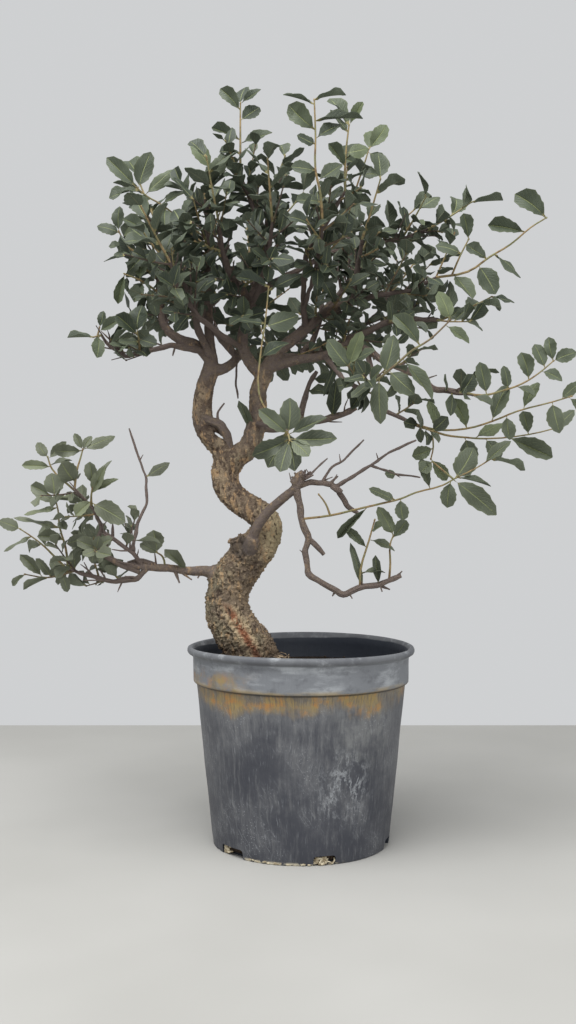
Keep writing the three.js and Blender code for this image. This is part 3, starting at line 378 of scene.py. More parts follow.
# Leafy shoots drawn one by one: stems, then leaves as stem, place along it, tip, width and facing,
# and how many more leaves the rule adds
shoots = {
    "spray_top_centre": {
        "stems": [[[-53, -3, 584], [-53, -3, 600], [-53, -3, 615], [-53, -3, 632], [-53, -2, 647]]],
        "leaves": [
            [0, 0.9, -70, -5, 660, 12, 0.9], [0, 1, -36, -4, 660, 9, 0.8], [0, 0.75, -36, 3, 646, 13, 0.9],
            [0, 0.5, -78, -4, 625, 10, 0.7], [0, 0.45, -26, -5, 623, 12, 0.8],
            [0, 0.3, -70, -14, 604, 8, 0.2],
        ],
        "fill": 1,
    },
    "spray_top_left": {
        "stems": [[[-84, 0, 563], [-84, 0, 577], [-78, -1, 590]]],
        "leaves": [[0, 1, -95, -2, 614, 14, 0.9], [0, 0.6, -68, -10, 600, 13, 0.8]],
        "fill": 3,
    },
    "spray_tall_front": {
        "stems": [[[16, -105, 515], [14, -115, 537], [10, -120, 555], [10, -122, 580], [9, -122, 609]]],
        "leaves": [
            [0, 0.8, -10, -125, 605, 15, 0.9], [0, 0.7, -4, -126, 580, 10, 0.8],
            [0, 0.97, -14, -128, 613, 7, 0.2], [0, 1, 32, -124, 616, 7, 0.3],
            [0, 0.86, 46, -122, 600, 12, 0.6], [0, 0.74, 30, -124, 590, 13, 0.8],
            [0, 0.5, -8, -128, 556, 12, 0.8], [0, 0.4, 30, -118, 562, 14, 0.7],
            [0, 0.2, -4, -124, 532, 12, 0.7],
        ],
    },
    "spray_top_right": {
        "stems": [[[36, -60, 554], [36, -62, 580], [39, -64, 608]]],
        "leaves": [
            [0, 1, 50, -66, 626, 9, 0.7], [0, 0.9, 24, -66, 620, 9, 0.6], [0, 0.6, 54, -66, 590, 12, 0.8],
            [0, 0.4, 22, -72, 590, 11, 0.7],
        ],
        "fill": 2,
    },
    "spray_top_far_right": {
        "stems": [[[42, 46, 555], [50, 30, 580], [58, 20, 603], [61, 18, 613]]],
        "leaves": [
            [0, 1, 76, 14, 634, 15, 0.9], [0, 0.93, 80, 15, 600, 12, 0.8], [0, 0.5, 70, 22, 592, 14, 0.8],
            [0, 0.6, 38, 22, 606, 12, 0.7],
        ],
        "fill": 2,
    },
    "spray_upper_left": {
        "stems": [
            [
                [-82, 7, 529], [-93, 5, 537], [-106, 0, 546], [-123, -4, 558], [-134, -6, 564],
                [-144, -8, 572],
            ],
        ],
        "leaves": [
            [0, 1, -169, -10, 598, 14, 0.9], [0, 0.97, -131, -10, 602, 15, 0.9],
            [0, 0.85, -114, -8, 590, 10, 0.8], [0, 0.95, -167, -12, 566, 7, 0.3],
            [0, 0.75, -147, -10, 559, 10, 0.6], [0, 0.6, -102, -14, 567, 10, 0.6],
            [0, 0.55, -118, -18, 540, 13, 0.7],
        ],
    },
    "spray_left_pairs": {
        "stems": [
            [
                [-128, 30, 508], [-135, 22, 517], [-142, 15, 519], [-153, 10, 523], [-158, 8, 531],
                [-161, 6, 537],
            ],
        ],
        "leaves": [
            [0, 1, -160, 3, 558, 12, 1], [0, 0.96, -179, 3, 542, 11, 0.9], [0, 0.85, -143, 4, 543, 9, 0.7],
            [0, 0.62, -169, 6, 526, 6, 0.3], [0, 0.55, -165, 4, 514, 9, 0.8],
            [0, 0.4, -153, 8, 503, 11, 0.9],
        ],
    },
    "spray_left_twig": {
        "stems": [[[-127, 24, 485], [-141, 15, 494], [-157, 10, 500]]],
        "leaves": [
            [0, 1, -162, 8, 473, 9, 0.9], [0, 0.6, -141, 14, 517, 12, 0.8], [0, 0.5, -147, 4, 474, 12, 0.8],
            [0, 0.3, -128, 8, 466, 11, 0.7],
        ],
    },
    "spray_lower_crown": {
        "stems": [[[-170, -34, 439], [-177, -36, 437]], [[-173, -35, 438], [-171, -36, 446]]],
        "leaves": [
            [0, 1, -198, -38, 437, 8, 0.3], [1, 1, -168, -38, 459, 8, 0.8],
            [0, 0.4, -172, -48, 421, 11, 0.5], [1, 0.6, -153, -40, 452, 11, 0.8],
        ],
    },
    "spray_lower_crown_inner": {
        "stems": [[[-139, -25, 425], [-137, -38, 432], [-138, -46, 440]]],
        "leaves": [
            [0, 1, -134, -48, 462, 17, 1], [0, 0.9, -155, -50, 454, 13, 0.8],
            [0, 0.7, -122, -50, 430, 13, 0.7], [0, 0.6, -153, -48, 432, 12, 0.6],
        ],
    },
    "spray_outer_right": {
        "stems": [
            [
                [114, -40, 487], [140, -44, 491], [158, -46, 503], [175, -48, 513], [192, -50, 527],
                [205, -50, 535],
            ],
            [[127, -42, 489], [132, -52, 502], [139, -56, 516]],
        ],
        "leaves": [
            [0, 1, 180, -52, 556, 17, 0.9], [0, 0.75, 156, -50, 529, 13, 0.9],
            [0, 0.45, 186, -52, 491, 9, 0.3], [0, 0.3, 163, -48, 472, 16, 0.9],
            [0, 0.12, 142, -60, 470, 16, 0.6], [0, 0.38, 140, -50, 514, 11, 0.6],
            [1, 1, 134, -60, 536, 11, 0.7], [1, 0.6, 114, -60, 512, 13, 0.7],
        ],
    },
    "spray_lower_right_high": {
        "stems": [
            [
                [135, -50, 389], [150, -56, 386], [168, -58, 390], [182, -60, 395], [195, -62, 403],
                [208, -64, 414],
            ],
        ],
        "leaves": [
            [0, 0.25, 148, -60, 413, 13, 0.9], [0, 0.45, 168, -66, 408, 10, 0.6],
            [0, 0.55, 192, -64, 385, 10, 0.5], [0, 0.7, 182, -66, 420, 13, 0.8],
            [0, 0.85, 214, -68, 398, 12, 0.8], [0, 0.9, 193, -62, 428, 12, 0.8],
            [0, 1, 204, -66, 433, 10, 0.9], [0, 1, 226, -66, 421, 11, 0.8],
        ],
    },
    "spray_lower_right_mid": {
        "stems": [
            [
                [98, -25, 364], [114, -34, 359], [138, -42, 359], [160, -50, 365], [180, -54, 373],
                [207, -58, 380], [224, -60, 385],
            ],
        ],
        "leaves": [
            [0, 0.5, 171, -58, 394, 14, 0.8], [0, 0.85, 214, -64, 356, 14, 0.9],
            [0, 0.6, 174, -56, 350, 13, 0.7], [0, 0.98, 238, -62, 371, 10, 0.9],
            [0, 0.35, 128, -50, 384, 12, 0.7], [0, 0.7, 198, -50, 399, 11, 0.7],
            [0, 0.2, 110, -42, 382, 11, 0.6], [0, 0.92, 232, -56, 397, 9, 0.8],
        ],
    },
    "spray_lower_right_low": {
        "stems": [
            [
                [106, -24, 361], [124, -22, 355], [142, -20, 353], [160, -19, 352], [198, -14, 356],
                [227, -8, 363],
            ],
            [[112, -23, 359], [114, -20, 345], [112, -18, 334]],
        ],
        "leaves": [
            [0, 0.7, 217, -20, 336, 17, 0.9], [0, 0.6, 171, -26, 335, 13, 0.8],
            [0, 0.8, 192, -16, 376, 12, 0.7], [0, 0.4, 152, -16, 328, 15, 0.9],
            [0, 0.95, 238, -10, 378, 11, 0.7], [0, 0.5, 176, -8, 372, 10, 0.5],
            [1, 1, 126, -18, 316, 12, 0.8], [1, 0.6, 96, -24, 338, 12, 0.8],
        ],
    },
    "spray_long_low": {
        "stems": [
            [
                [0, -44, 283], [24, -50, 286], [45, -56, 291], [66, -60, 296], [82, -62, 300],
                [94, -63, 305], [116, -65, 311], [125, -66, 316], [143, -67, 325], [156, -68, 333],
            ],
            [[125, -66, 316], [114, -67, 325], [107, -67, 331]],
            [[24, -50, 286], [20, -53, 296], [14, -55, 304]],
        ],
        "leaves": [
            [0, 0.79, 141, -71, 341, 19, 1], [0, 0.76, 120, -68, 293, 14, 0.9],
            [0, 0.78, 160, -70, 287, 15, 0.9], [0, 0.8, 157, -64, 313, 7, 0.4],
            [0, 1, 184, -70, 328, 7, 0.3], [0, 0.62, 99, -66, 333, 8, 0.8], [1, 1, 98, -70, 322, 12, 0.7],
            [0, 0.28, 30, -52, 267, 7, 0.8], [0, 0.42, 56, -62, 309, 10, 0.7],
            [0, 0.45, 84, -66, 283, 12, 0.8], [0, 0.95, 170, -72, 348, 10, 0.6],
        ],
    },
    "spray_left_top": {
        "stems": [[[-194, -28, 308], [-192, -28, 324], [-189, -27, 335], [-187, -26, 343]]],
        "leaves": [
            [0, 0.97, -211, -30, 342, 11, 0.9], [0, 1, -162, -24, 357, 9, 0.7],
            [0, 1, -194, -28, 356, 7, 0.8], [0, 0.98, -181, -20, 355, 7, 0.7],
            [0, 0.15, -202, -42, 330, 18, 0.9], [0, 0.4, -208, -10, 322, 12, 0.5],
        ],
    },
    "spray_left_middle": {
        "stems": [[[-179, -30, 294], [-178, -38, 302], [-176, -42, 312]]],
        "leaves": [
            [0, 1, -178, -46, 331, 11, 0.9], [0, 0.9, -162, -42, 333, 7, 0.7],
            [0, 0.7, -156, -40, 318, 7, 0.6], [0, 0.6, -166, -50, 326, 10, 0.8],
            [0, 0.2, -149, -44, 281, 17, 0.9], [0, 0.3, -190, -46, 286, 11, 0.7],
        ],
    },
    "spray_left_upper": {
        "stems": [[[-190, -28, 304], [-201, -18, 312], [-216, -14, 326], [-220, -14, 337]]],
        "leaves": [
            [0, 0.75, -242, -16, 330, 9, 0.8], [0, 1, -229, -14, 349, 9, 0.9],
            [0, 0.95, -204, -14, 350, 7, 0.8], [0, 0.8, -200, -12, 336, 8, 0.5],
            [0, 0.4, -196, 4, 322, 11, 0.6],
        ],
    },
    "spray_left_upright": {
        "stems": [
            [[-204, -5, 239], [-204, -16, 258], [-208, -22, 276], [-209, -24, 291], [-212, -26, 303]],
        ],
        "leaves": [
            [0, 1, -214, -30, 321, 17, 0.9], [0, 0.95, -187, -30, 298, 8, 0.3],
            [0, 0.9, -231, -28, 309, 9, 0.9], [0, 0.8, -238, -26, 287, 7, 0.7],
            [0, 0.5, -247, -24, 285, 9, 0.6], [0, 0.6, -200, -34, 274, 8, 0.8],
            [0, 0.3, -186, -18, 268, 11, 0.9], [0, 0.35, -222, -34, 270, 10, 0.7],
        ],
    },
    "spray_left_far": {
        "stems": [[[-206, -5, 240], [-216, -6, 250], [-224, -6, 258], [-234, -6, 266], [-246, -6, 274]]],
        "leaves": [
            [0, 1, -264, -8, 281, 11, 0.9], [0, 0.8, -261, -10, 259, 7, 0.5],
            [0, 0.5, -226, 2, 280, 10, 0.6], [0, 0.6, -244, 8, 258, 10, 0.6],
        ],
    },
    "spray_left_low": {
        "stems": [[[-198, -5, 237], [-212, -2, 233], [-223, -2, 231], [-243, -2, 234]]],
        "leaves": [
            [0, 0.75, -244, -10, 251, 10, 0.8], [0, 0.6, -226, -16, 247, 9, 0.6],
            [0, 1, -254, -4, 225, 5, 0.6], [0, 0.65, -243, -6, 221, 6, 0.5],
            [0, 0.3, -204, -8, 219, 9, 0.8],
        ],
    },
    "spray_left_inner": {
        "stems": [[[-176, -8, 230], [-181, 4, 240], [-186, 14, 250]]],
        "leaves": [
            [0, 1, -186, 18, 274, 11, 0.8], [0, 0.9, -206, 20, 262, 11, 0.7],
            [0, 0.6, -162, 6, 244, 14, 0.8], [0, 0.5, -192, 20, 236, 10, 0.6],
            [0, 0.8, -172, 26, 264, 11, 0.7],
        ],
    },
    "spray_left_round": {
        "stems": [[[-118, -12, 240], [-120, -16, 250], [-125, -19, 254]]],
        "leaves": [
            [0, 1, -127, -24, 273, 16, 1], [0, 0.5, -104, -18, 250, 5, 0.5],
            [0, 0.9, -140, -14, 262, 9, 0.7],
        ],
    },
    "spray_low_first": {
        "stems": [[[49, -53, 226], [49, -55, 240], [56, -56, 265], [61, -56, 283]]],
        "leaves": [
            [0, 0.6, 38, -58, 276, 7, 0.8], [0, 0.3, 69, -58, 241, 8, 0.5], [0, 0.7, 78, -58, 258, 9, 0.7],
            [0, 0.85, 66, -68, 278, 10, 0.7],
        ],
    },
    "spray_low_second": {
        "stems": [[[73, -54, 232], [74, -54, 246], [74, -53, 262], [77, -52, 270]]],
        "leaves": [[0, 1, 65, -58, 292, 12, 0.9], [0, 0.9, 88, -50, 282, 11, 0.8]],
    },
    "spray_star": {
        "stems": [
            [[-12, -112, 352], [-11, -124, 349], [-10, -135, 344]],
            [
                [-16, -80, 357], [-29, -78, 372], [-35, -76, 387], [-34, -74, 415], [-30, -72, 444],
                [-27, -70, 474],
            ],
        ],
        "leaves": [
            [0, 0.5, -33, -128, 369, 13, 0.8], [0, 0.3, -10, -126, 376, 17, 0.9],
            [0, 0.5, 16, -132, 364, 13, 0.7], [0, 0.9, 25, -138, 347, 14, 0.9],
            [0, 1, 7, -146, 330, 16, 0.8], [0, 1, -18, -146, 318, 14, 0.9],
            [0, 0.9, -38, -138, 334, 13, 0.9], [1, 1, -52, -72, 485, 9, 0.5],
            [1, 0.98, -1, -72, 484, 9, 0.4], [1, 0.78, -4, -74, 452, 17, 0.8],
            [1, 0.8, -52, -74, 447, 10, 0.6], [1, 0.6, -12, -78, 428, 14, 0.7],
        ],
    },
    "spray_front_right": {
        "stems": [
            [
                [58, -100, 393], [73, -103, 405], [87, -105, 417], [100, -106, 425], [112, -107, 436],
                [117, -107, 441],
            ],
            [[48, -90, 388], [42, -104, 396], [36, -112, 404]],
        ],
        "leaves": [
            [0, 0.1, 72, -108, 428, 15, 0.9], [0, 0.15, 88, -110, 385, 15, 0.8],
            [0, 0.05, 62, -112, 362, 14, 0.8], [1, 0.9, 20, -116, 424, 15, 0.9],
            [1, 1, 46, -118, 430, 11, 0.9], [0, 0.3, 104, -112, 381, 14, 0.6],
            [0, 0.85, 132, -110, 424, 11, 0.7], [0, 1, 108, -112, 462, 13, 0.9],
            [0, 0.5, 74, -108, 446, 13, 0.7],
        ],
    },
}

# Leafy shoots by direction: limb, place, degrees round, degrees up, length and leaves
ruleShoots = [
    ["farRightLimb", 0.62, 300, 35, 44, 4], ["farRightLimb", 1, 350, 25, 44, 5],
    ["leftLimb", 0.67, 150, 35, 42, 4], ["leftLimb", 0.76, 262, 20, 40, 4],
    ["leftLimb", 0.86, 60, 40, 44, 4], ["leftLimb", 1, 150, 62, 44, 5], ["tanLimb", 1, 215, 40, 42, 5],
    ["centreLimb", 0.72, 250, 45, 46, 4], ["centreLimb", 0.8, 75, 45, 44, 4],
    ["backLimb", 0.62, 20, 30, 46, 4], ["backLimb", 0.8, 150, 40, 44, 4], ["backLimb", 1, 100, 62, 50, 5],
    ["backLeftLimb", 0.6, 215, 22, 46, 4], ["backLeftLimb", 1, 150, 55, 46, 5],
    ["frontLimb", 0.62, 325, 20, 42, 4], ["frontLimb", 0.8, 185, 32, 44, 4],
    ["frontLimb", 1, 240, 68, 50, 5], ["innerLimb", 0.75, 5, 45, 46, 4], ["innerLimb", 1, 40, 62, 48, 5],
    ["frontLeftLimb", 1, 225, 50, 46, 5], ["frontMidLimb", 1, 262, 58, 46, 5],
    ["rearLimb", 1, 85, 62, 50, 5], ["rearRightLimb", 1, 40, 42, 48, 5], ["rearLowLimb", 1, 105, 30, 46, 5],
    ["rightLimb", 0.55, 292, 20, 44, 4], ["rightLimb", 1, 320, 66, 48, 5],
    ["rightUpperLimb", 0.6, 80, 25, 46, 4], ["backRightLimb", 1, 20, 35, 50, 5],
    ["lowRightLimb", 0.72, 75, 25, 44, 4], ["lowRightLimb", 1, 350, 18, 46, 5],
]


# A node's output, with the arithmetic that a Math node does
class Wire:
    def __init__(self, finish, node, socket):
        self.finish = finish
        self.node = node
        self.socket = socket

    def __add__(self, other):
        return self.finish.maths("ADD", self, other)

    def __sub__(self, other):
        return self.finish.maths("SUBTRACT", self, other)

    def __rsub__(self, other):
        return self.finish.maths("SUBTRACT", other, self)

    def __mul__(self, other):
        return self.finish.maths("MULTIPLY", self, other)

    __radd__ = __add__
    __rmul__ = __mul__

    def out(self, name):
        return Wire(self.finish, self.node, self.node.outputs[name])


# One material, the nodes that paint it, and the tones that its coats name
class Finish:
    def __init__(self, name, look):
        self.look = look
        self.material = bpy.data.materials.new(name)
        self.material.use_nodes = True
        self.tree = self.material.node_tree
        self.tree.nodes.clear()
        self.place = self.node("ShaderNodeTexCoord").out("Object")

    def node(self, kind, settings=None, values=None):
        node = self.tree.nodes.new(kind)
        for setting, value in (settings or {}).items():
            setattr(node, setting, value)
        for name, value in (values or {}).items():
            if isinstance(value, Wire):
                self.tree.links.new(value.socket, node.inputs[name])
            else:
                node.inputs[name].default_value = value
        return Wire(self, node, node.outputs[0] if node.outputs else None)

    def maths(self, operation, *terms):
        return self.node("ShaderNodeMath", {"operation": operation}, dict(enumerate(terms)))

    def split(self, vector):
        parts = self.node("ShaderNodeSeparateXYZ", None, {0: vector})
        return parts.out("X"), parts.out("Y"), parts.out("Z")

    def pack(self, x, y, z):
        return self.node("ShaderNodeCombineXYZ", None, {0: x, 1: y, 2: z})

    def length(self, vector):
        return self.node("ShaderNodeVectorMath", {"operation": "LENGTH"}, {0: vector}).out("Value")

    def stretch(self, vector, share):
        return self.node("ShaderNodeVectorMath", {"operation": "MULTIPLY"}, {0: vector, 1: share})

    # Soft noise from 0 to 1, by grains per metre
    def cloud(self, scale, detail=3, vector=None, rough=0.55):
        values = {"Vector": vector or self.place, "Scale": scale, "Detail": detail, "Roughness": rough}
        return self.node("ShaderNodeTexNoise", None, values)

    def cells(self, scale, vector=None):
        values = {"Vector": vector or self.place, "Scale": scale}
        return self.node("ShaderNodeTexVoronoi", None, values).out("Distance")

    # From 0 at low to 1 at high, eased at both ends
    def band(self, value, low, high):
        values = {"Value": value, "From Min": low, "From Max": high}
        return self.node("ShaderNodeMapRange", {"interpolation_type": "SMOOTHSTEP"}, values)

    def tone(self, colour):
        return colour if isinstance(colour, Wire) else (*self.look[colour], 1)

    def mix(self, share, first, second):
        values = {0: share, 6: self.tone(first), 7: self.tone(second)}
        blend = self.node("ShaderNodeMix", {"data_type": "RGBA"}, values)
        return Wire(self, blend.node, blend.node.outputs[2])

    # Lays coats over a colour one after the other, each given as its share and its tone
    def coats(self, colour, *layers):
        for share, tone in layers:
            colour = self.mix(share, colour, tone)
        return colour

    def field(self, name):
        return self.node("ShaderNodeAttribute", {"attribute_name": name}).out("Fac")

    def bump(self, height, depth, strength=1.0):
        values = {"Height": height, "Distance": depth, "Strength": strength}
        return self.node("ShaderNodeBump", None, values)

    def surface(self, colour, roughness, normal=None, gloss=0.5):
        values = {"Base Color": colour, "Roughness": roughness, "Specular IOR Level": gloss}
        if normal:
            values["Normal"] = normal
        shader = self.node("ShaderNodeBsdfPrincipled", None, values)
        self.node("ShaderNodeOutputMaterial", None, {"Surface": shader})
        return self.material


# Places on the pot are the distance round from its front and the height, in metres
potFinish = {
    "dark": (0.042, 0.045, 0.057), "plastic": (0.082, 0.085, 0.096), "worn": (0.185, 0.187, 0.19),
    "hazy": (0.2, 0.205, 0.2), "collar": (0.18, 0.19, 0.205), "chalk": (0.42, 0.44, 0.46),
    "rim": (0.14, 0.146, 0.156), "inside": (0.018, 0.023, 0.034), "ochre": (0.4, 0.185, 0.05),
    "mustard": (0.32, 0.225, 0.075), "cream": (0.62, 0.56, 0.42), "shadow": (0.016, 0.016, 0.018),
    "stepHeight": 0.1417, "rimHeight": 0.1655, "flatRadius": 0.085,
    "scuffPlace": (0.037, 0.064), "barePlace": (-0.036, 0.082), "palePlace": (0.052, 0.112),
}


# How close the wall is to a place on it, from 1 there to 0 at the reach
def nearPlace(paint, around, height, place, reach, squash=1.0):
    away = paint.length(paint.pack(around - place[0], (height - place[1]) * squash, 0))
    return 1 - paint.band(away, reach * 0.25, reach)


def paintPot():
    look = potFinish
    paint = Finish("weatheredPotPlastic", look)
    band, cloud, stretch = paint.band, paint.cloud, paint.stretch
    x, y, z = paint.split(paint.place)
    turn = paint.maths("ARCTAN2", x, y * -1)
    around = turn * look["flatRadius"]
    wall = paint.pack(around + (cloud(22, 3) - 0.5) * 0.01, z, 0)
    patches = cloud(20, 5, wall, 0.6)
    clouds = cloud(70, 5, wall, 0.65)
    streaks = cloud(230, 6, stretch(wall, (1, 0.14, 1)), 0.7)
    scratches = cloud(620, 4, stretch(wall, (1, 0.11, 1)), 0.7)
    worn = band(patches * 0.45 + streaks * 0.35 + z * 1.5, 0.42, 0.78)

    # The body: worn and scratched, scuffed low at the right, paler above that and bare at the left
    pale = nearPlace(paint, around, z, look["palePlace"], 0.045) * band(clouds, 0.35, 0.65)
    bare = nearPlace(paint, around, z, look["barePlace"], 0.026, 0.7)
    curls = 1 - band(paint.maths("ABSOLUTE", cloud(52, 5, wall, 0.7) - 0.5), 0.0, 0.011)
    hairs = paint.maths("ABSOLUTE", cloud(110, 6, stretch(wall, (1, 0.35, 1)), 0.75) - 0.5)
    scuffed = nearPlace(paint, around, z, look["scuffPlace"], 0.034, 0.8) * band(clouds, 0.4, 0.6)
    slanted = stretch(paint.pack(around + z * 0.7, z - around * 0.7, 0), (1, 0.12, 1))
    swipes = band(cloud(320, 4, slanted, 0.7), 0.56, 0.7) * band(patches, 0.44, 0.56)
    specks = (1 - band(paint.cells(430, wall), 0.1, 0.24)) * band(patches, 0.48, 0.6)
    body = paint.coats(
        "dark",
        (band(patches + z * 1.2, 0.42, 0.72), "plastic"),
        (worn * 0.7, "worn"),
        (pale * 0.55, "hazy"),
        (bare * 0.75, "dark"),
        (band(streaks, 0.5, 0.72) * 0.4, "worn"),
        (band(1 - streaks, 0.52, 0.7) * 0.5, "dark"),
        (band(scratches, 0.54, 0.68) * band(clouds, 0.4, 0.62) * 0.26, "chalk"),
        (band(1 - scratches, 0.54, 0.68) * 0.5, "dark"),
        (curls * band(patches, 0.45, 0.6) * 0.12, "chalk"),
        ((1 - band(hairs, 0.004, 0.05)) * scuffed * 0.55, "chalk"),
        (swipes * 0.22, "chalk"),
        (specks * 0.45, "chalk"),
    )

    # The collar and the rim, limed in wide smears
    smears = cloud(60, 6, stretch(wall, (0.55, 1.6, 1)), 0.6)
    collar = paint.coats(
        "collar",
        (band(smears, 0.46, 0.7) * 0.65, "chalk"),
        (band(clouds, 0.48, 0.72) * 0.7, "plastic"),
    )
    rim = paint.coats(
        "rim",
        (band(clouds, 0.5, 0.68) * 0.6, "chalk"),
        (band(1 - patches, 0.42, 0.58) * 0.6, "plastic"),
    )
    onCollar = band(z, look["stepHeight"] - 0.0006, look["stepHeight"] + 0.0012)
    onRim = band(z, look["rimHeight"] - 0.001, look["rimHeight"] + 0.001)

    # The stain that runs down from the collar's step, the painted shadow under the step, and the crust at
    # the foot
    frontSide = band(paint.maths("COSINE", turn + 0.1), -0.2, 0.7)
    runs = cloud(150, 5, stretch(wall, (1, 0.12, 1)), 0.65)
    reach = cloud(19, 4, wall, 0.6) * 0.052 + runs * 0.02 - 0.009
    below = band(z, 0.148 - reach, 0.164 - reach) * (1 - onCollar)
    stain = band(cloud(30, 5, wall, 0.6) + runs * 0.4, 0.58, 0.78)
    orange = stain * band(cloud(85, 5, wall, 0.65), 0.46, 0.62)
    leftSide = band(turn * -1, 0.3, 0.8) * (1 - band(turn * -1, 1.3, 1.6))
    onFoot = (1 - band(z, 0.15, 0.161)) * onCollar
    blotch = onFoot * leftSide * band(cloud(48, 5, wall, 0.65), 0.4, 0.66)
    edge = onCollar * (1 - band(z, 0.1425, 0.1462)) * frontSide
    stepShadow = band(z, 0.1394, 0.1408) * (1 - band(z, 0.1412, 0.1424))
    footLine = (1 - band(z, 0.0008, 0.0034)) * band(cloud(90, 5, wall), 0.46, 0.54)
    flaky = footLine * (1 - band(paint.maths("ABSOLUTE", turn + 0.15), 0.45, 0.65))
    innerWall = onCollar * 0.0941 + (1 - onCollar) * (z * 0.1016 + 0.0764)
    outside = band(paint.maths("POWER", x * x + y * y, 0.5) - innerWall, -0.0002, 0.0002)
    colour = paint.coats(
        body,
        (onCollar, collar),
        (onRim, rim),
        (below * frontSide * (0.24 + stain * 0.6), "mustard"),
        (below * frontSide * orange * 0.9, "ochre"),
        (below * band(1 - scratches, 0.48, 0.62) * 0.5, "plastic"),
        (blotch * 0.85, paint.mix(band(runs, 0.42, 0.6), "mustard", "ochre")),
        (edge * band(smears, 0.42, 0.6) * 0.6, "mustard"),
        (stepShadow * 0.75, "shadow"),
        (flaky, "cream"),
        (1 - outside, "inside"),
    )
    normal = paint.bump(streaks * 0.4 + scratches * 0.2 + clouds * 0.4, 0.0012, 0.8)
    return paint.surface(colour, 0.5 + worn * 0.2, normal, 0.4)


barkFinish = {
    "olive": (0.2, 0.155, 0.115), "tan": (0.35, 0.265, 0.175), "streak": (0.5, 0.33, 0.18),
    "pale": (0.6, 0.47, 0.3), "pit": (0.07, 0.048, 0.036), "inner": (0.26, 0.085, 0.04),
    "limb": (0.168, 0.133, 0.118), "twig": (0.185, 0.14, 0.12), "lichen": (0.21, 0.195, 0.13),
    "shaded": (0.075, 0.055, 0.048), "paintedSunlit": (0.5, 0.41, 0.25), "collar": (0.085, 0.07, 0.062),
    "brown": (0.115, 0.082, 0.063),
}


# Cork on the thick wood and smoother bark on the thin, told apart by the radius that the wood carries
def paintBark():
    paint = Finish("fissuredCorkBark", barkFinish)
    band, cloud, stretch = paint.band, paint.cloud, paint.stretch
    height = paint.field("corkHeight")
    size = paint.field("woodRadius")
    x, y, z = paint.split(paint.place)
    grain = cloud(330, 7, None, 0.7)
    fine = cloud(1000, 4, None, 0.7)
    patches = cloud(45, 4, None, 0.6)
    strips = cloud(210, 5, stretch(paint.place, (1, 1, 0.42)), 0.6)
    shade = cloud(95, 5, stretch(paint.place, (1, 1, 0.6)), 0.65)
    rings = cloud(260, 6, stretch(paint.place, (1, 1, 1.5)), 0.65)
    forked = band(z, 0.285, 0.305)
    # The right edge of the trunk below the fork, painted lighter as a painted highlight
    paintedSunlit = band(x + (grain - 0.5) * 0.03, -0.04, -0.022) * band(z, 0.222, 0.245)

    # The peeled streak that climbs from the foot, on the front only
    away = paint.maths("ABSOLUTE", x * 0.849 + z * 0.528 - 0.0549 + (grain - 0.5) * 0.006)
    inStreak = (1 - band(z, 0.198, 0.214)) * band(y * -1, 0.002, 0.008)
    ragged = inStreak * band(strips, 0.34, 0.48)
    cork = paint.coats(
        "olive",
        (band(patches, 0.38, 0.62), "tan"),
        (band(cloud(18, 2), 0.52, 0.66) * 0.6, "lichen"),
        (band(shade + forked * 0.04, 0.48, 0.6) * (0.65 + forked * 0.2), "brown"),
        (paintedSunlit * (1 - band(z, 0.288, 0.302)) * 0.8, "paintedSunlit"),
        (band(strips + forked * 0.01, 0.55, 0.62) * (0.68 + forked * 0.12), "streak"),
        (band(fine * 0.5 + grain * 0.5, 0.53, 0.65) * 0.75, "pale"),
        (band(1 - grain, 0.55, 0.68) * 0.55, "pit"),
        ((1 - band(away, 0.004, 0.009)) * inStreak * 0.75, "pale"),
        ((1 - band(away, 0.001, 0.005)) * ragged * 0.9, "inner"),
        (band(height, 0.62, 0.9) * 0.4, "pale"),
        ((1 - band(height + (grain - 0.5) * 0.6, 0.02, 0.34)) * 0.85, "pit"),
    )
    limb = paint.coats(
        "limb",
        (band(rings, 0.42, 0.64), "olive"),
        (band(strips, 0.55, 0.65) * band(patches, 0.46, 0.58) * 0.55, "streak"),
        (band(fine, 0.56, 0.72) * 0.45, "pale"),
        (band(1 - grain, 0.54, 0.68) * 0.6, "pit"),
        (1 - band(size, 0.06, 0.13), paint.mix(band(grain, 0.45, 0.62), "limb", "twig")),
        # Limbs high in the crown are painted darker: painted shade
        (band(z, 0.41, 0.46) * 0.6, "shaded"),
    )

    # The dark collar round the root of the dark branch, and the foot, darker just above the soil
    fromCollar = paint.length(paint.pack(x + 0.049, y + 0.016, (z - 0.257) * 1.3))
    colour = paint.coats(
        limb,
        (band(size + (patches - 0.5) * 0.5, 0.2, 0.4), cork),
        ((1 - band(fromCollar + (grain - 0.5) * 0.01, 0.009, 0.019)) * 0.75, "collar"),
        ((1 - band(z, 0.166, 0.182)) * 0.6, "pit"),
    )
    normal = paint.bump(grain * 0.5 + fine * 0.25 + strips * 0.25, 0.005, 1.0)
    return paint.surface(colour, 0.9, normal, 0.2)


leafFinish = {
    "deep": (0.021, 0.031, 0.019), "fresh": (0.118, 0.145, 0.07), "grey": (0.07, 0.086, 0.054),
    "vein": (0.21, 0.235, 0.105), "under": (0.15, 0.175, 0.125), "underVein": (0.23, 0.24, 0.15),
    "stalk": (0.26, 0.23, 0.1), "pale": (0.2, 0.205, 0.145),
}


# Midrib and side veins in the blade's own flat coordinates, as strong lines and weak ones
def drawVeins(paint):
    u, v, _ = paint.split(paint.node("ShaderNodeUVMap", {"uv_map": "UVMap"}))
    across = paint.maths("ABSOLUTE", u - 0.5)
    midrib = 1 - paint.band(across + v * 0.012, 0.02, 0.05)
    sideways = paint.maths("PINGPONG", v * 8.5 - across * 5.5, 0.5)
    side = (1 - paint.band(sideways, 0.0, 0.13)) * (1 - paint.band(across, 0.36, 0.5))
    return midrib, side, across, 1 - paint.band(v, 0.08, 0.16)
